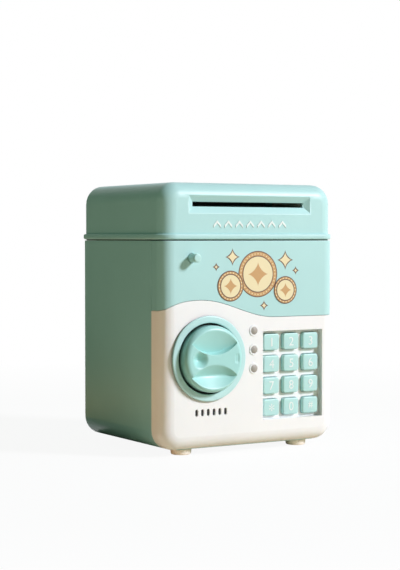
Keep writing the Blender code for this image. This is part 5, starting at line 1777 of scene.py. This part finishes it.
@dataclass
class Studio:
    """Floor, light and camera.

    The side glow stands for the warm light that comes through the thin white plastic.
    """

    camera_place: tuple[float, float, float] = (-0.55373, -0.89867, 0.14596)
    camera_yaw: float = 31.252
    camera_pitch: float = -1.833
    camera_clip: tuple[float, float] = (0.01, 50.0)
    lens: float = 93.815
    sensor: float = 36.0
    lamps: tuple[Lamp, ...] = (
        Lamp("key", (0.63, -0.74, 0.54), 3.0, 0.50, 97.5, (0.93, 0.91, 1.0)),
        Lamp("back_fill", (0.40, 0.90, 0.14), 2.4, 0.9, 9.0, (1.0, 1.0, 1.0), False),
        Lamp("side_glow", (-1.0, -0.03, 0.0), 1.5, 0.5, 6.2, (1.0, 0.42, 0.2), False,
             ("door_lower_panel_shell", "feet")),
    )
    fill_colour: Colour = (0.56, 1.0, 0.66)
    fill_strength: float = 0.14
    floor_half: float = 4.0
    floor_drop: float = 0.0002
    floor_tone: Colour = (0.90, 0.77, 0.56)
    floor_glow: float = 0.92
    glow_range: tuple[float, float] = (0.3, 0.7)
    # Painted shade: the floor's colour for bounced light darkens near the object's base.
    shade_middle: tuple[float, float, float] = (-0.075, 0.045, 0.0)
    shade_range: tuple[float, float] = (0.035, 0.085)
    shade_tone: Colour = (0.10, 0.10, 0.07)
    card_middle: tuple[float, float] = (-0.07, 0.01)
    card_radius: float = 0.31
    card_height: float = 0.45
    card_from: float = 98.0
    card_to: float = 240.0
    card_steps: int = 24
    card_tone: Colour = (0.02, 0.045, 0.03)
    # Painted reflections: the card and mat tones are what reflections show; the near ring and the disc under
    # the object are painted shadow, the far ring is the lit floor.
    painted_shadow_reach: float = 0.17
    painted_shadow_tone: Colour = (0.03, 0.04, 0.03)
    painted_lit_floor_tone: Colour = (1.9, 1.25, 0.45)
    painted_shadow_disc: float = 0.088

    def build(self) -> None:
        """Make the floor, the world, the lamps, the card and the camera."""
        self.floor()
        self.world()
        for lamp in self.lamps:
            self.light(lamp)
        self.dark_card()
        self.camera()
        bpy.context.scene.view_settings.view_transform = "Standard"

    def floor(self) -> None:
        """Pale floor that keeps the object's shadow."""
        bm = bmesh.new()
        reach = self.floor_half
        corners = ((-reach, -reach), (reach, -reach), (reach, reach), (-reach, reach))
        bm.faces.new([bm.verts.new((x, y, -self.floor_drop)) for x, y in corners])
        material = bpy.data.materials.new("studio_floor")
        material.use_nodes = True
        bench = emptied(material.node_tree)
        paper = bench.add("ShaderNodeBsdfDiffuse", {"Color": WHITE})
        white = bench.add("ShaderNodeEmission", {"Color": WHITE, "Strength": 1.0})
        place = bench.place()
        away = bench.add("ShaderNodeVectorMath", {0: place}, operation="LENGTH").outputs["Value"]
        glow = bench.add("ShaderNodeMapRange", {
            "Value": away, "From Min": self.glow_range[0], "From Max": self.glow_range[1],
            "To Min": self.floor_glow, "To Max": 1.0}).outputs[0]
        pale = bench.add("ShaderNodeMixShader", {0: glow, 1: paper.outputs[0], 2: white.outputs[0]})
        # Painted shade: the colour that bounced light takes from the floor darkens towards shade_middle, near
        # the object's base.
        beside = bench.add("ShaderNodeVectorMath", {0: place, 1: self.shade_middle}, operation="DISTANCE")
        lit = bench.add("ShaderNodeMapRange", {
            "Value": beside.outputs["Value"], "From Min": self.shade_range[0],
            "From Max": self.shade_range[1]}).outputs[0]
        tone = bench.mix(lit, (*self.shade_tone, 1.0), (*self.floor_tone, 1.0))
        matt = bench.add("ShaderNodeBsdfDiffuse", {"Color": tone})
        seen = seen_rays(bench)
        both = bench.add("ShaderNodeMixShader", {0: seen, 1: matt.outputs[0], 2: pale.outputs[0]})
        bench.add("ShaderNodeOutputMaterial", {0: both.outputs[0]})
        floor = mesh_piece("studio_floor", bm, [material])
        floor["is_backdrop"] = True

    def dark_card(self) -> None:
        """Curved dark card round the left side and a mat at its foot, which only reflections see; painted
        reflections: the mat's near ring and the disc under the object show the object's shadow on the floor,
        its far ring the lit floor.
        """
        bm = bmesh.new()
        rings = []
        levels = ((0.0, 0.0), (self.painted_shadow_reach, 0.0), (self.card_radius, 0.0),
                  (self.card_radius, self.card_height))
        for radius, height in levels:
            ring = []
            for i in range(self.card_steps + 1):
                share = i / self.card_steps
                angle = math.radians(self.card_from + (self.card_to - self.card_from) * share)
                ring.append(bm.verts.new((self.card_middle[0] + radius * math.cos(angle),
                                          self.card_middle[1] + radius * math.sin(angle), height)))
            rings.append(ring)
        colours = {"mat_near": self.painted_shadow_tone, "mat_far": self.painted_lit_floor_tone, "card": self.card_tone}
        for number, (lower, upper) in enumerate(zip(rings, rings[1:])):
            for i in range(self.card_steps):
                face = bm.faces.new((lower[i], lower[i + 1], upper[i + 1], upper[i]))
                face.material_index = number
        # Painted shadow: a dark disc under the object, which reflections see in place of the floor.
        middle = sum((Vector(corner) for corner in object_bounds()), Vector()) / 2
        disc = [bm.verts.new((middle.x + self.painted_shadow_disc * math.cos(math.tau * i / self.card_steps),
                              middle.y + self.painted_shadow_disc * math.sin(math.tau * i / self.card_steps),
                              self.floor_drop)) for i in range(self.card_steps)]
        bm.faces.new(disc)
        materials = []
        for name, colour in colours.items():
            material = bpy.data.materials.new("studio_" + name)
            material.use_nodes = True
            bench = emptied(material.node_tree)
            light = bench.add("ShaderNodeEmission", {"Color": (*colour, 1.0), "Strength": 1.0})
            bench.add("ShaderNodeOutputMaterial", {0: light.outputs[0]})
            materials.append(material)
        card = mesh_piece("studio_card", bm, materials)
        card.visible_camera = False
        card.visible_diffuse = False
        card.visible_shadow = False
        card.visible_transmission = False
        card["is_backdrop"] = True

    def world(self) -> None:
        """White surround for the eye and for reflections, and a dim fill for the object."""
        world = bpy.data.worlds.new("studio")
        bpy.context.scene.world = world
        world.use_nodes = True
        bench = emptied(world.node_tree)
        fill = bench.add("ShaderNodeBackground", {"Color": (*self.fill_colour, 1.0),
                                                  "Strength": self.fill_strength})
        white = bench.add("ShaderNodeBackground", {"Color": WHITE, "Strength": 1.0})
        seen = seen_rays(bench)
        both = bench.add("ShaderNodeMixShader", {0: seen, 1: fill.outputs[0], 2: white.outputs[0]})
        bench.add("ShaderNodeOutputWorld", {0: both.outputs[0]})

    def light(self, lamp: Lamp) -> None:
        """Set up a lamp.

        Args:
            lamp: What it is like.
        """
        offset = Vector(lamp.direction).normalized() * lamp.distance
        low, high = (Vector(corner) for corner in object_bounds())
        data = bpy.data.lights.new(lamp.name, "AREA")
        data.shape = "SQUARE"
        data.size = lamp.size
        data.energy = lamp.power
        data.color = lamp.colour
        holder = bpy.data.objects.new(lamp.name, data)
        holder.location = (low + high) / 2 + offset
        holder.visible_glossy = lamp.mirrored
        holder.rotation_mode = "QUATERNION"
        holder.rotation_quaternion = (-offset).to_track_quat("-Z", "Y")
        bpy.context.scene.collection.objects.link(holder)
        if lamp.only:
            lit = bpy.data.collections.new(lamp.name + "_lit")
            for piece in lamp.only:
                lit.objects.link(bpy.data.objects[piece])
            holder.light_linking.receiver_collection = lit

    def camera(self) -> None:
        """Camera at the photograph's angle."""
        data = bpy.data.cameras.new("camera")
        data.lens = self.lens
        data.sensor_width = self.sensor
        data.sensor_fit = "AUTO"
        data.clip_start, data.clip_end = self.camera_clip
        camera = bpy.data.objects.new("camera", data)
        camera.location = self.camera_place
        camera.rotation_euler = (math.radians(90 + self.camera_pitch), 0.0, math.radians(-self.camera_yaw))
        bpy.context.scene.collection.objects.link(camera)
        bpy.context.scene.camera = camera


def main() -> None:
    """Build the whole object, then its studio."""
    logging.basicConfig(level=logging.INFO, format="%(message)s")
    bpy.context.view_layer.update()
    finishes = Finishes()
    Housing(finishes).build()
    Dial(finishes).build()
    Keypad(finishes).build()
    DoorFittings(finishes).build()
    Feet(finishes).build()
    Fasteners(finishes).build()
    SlotArrows(finishes).build()
    DoorPrint(finishes).build()
    Studio().build()


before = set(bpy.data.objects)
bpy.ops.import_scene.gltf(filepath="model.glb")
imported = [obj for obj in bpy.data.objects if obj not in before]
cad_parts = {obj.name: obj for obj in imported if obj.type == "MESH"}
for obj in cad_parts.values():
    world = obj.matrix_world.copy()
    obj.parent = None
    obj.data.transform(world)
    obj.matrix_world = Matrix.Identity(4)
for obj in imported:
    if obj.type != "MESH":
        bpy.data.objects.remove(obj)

if __name__ == "__main__":
    main()
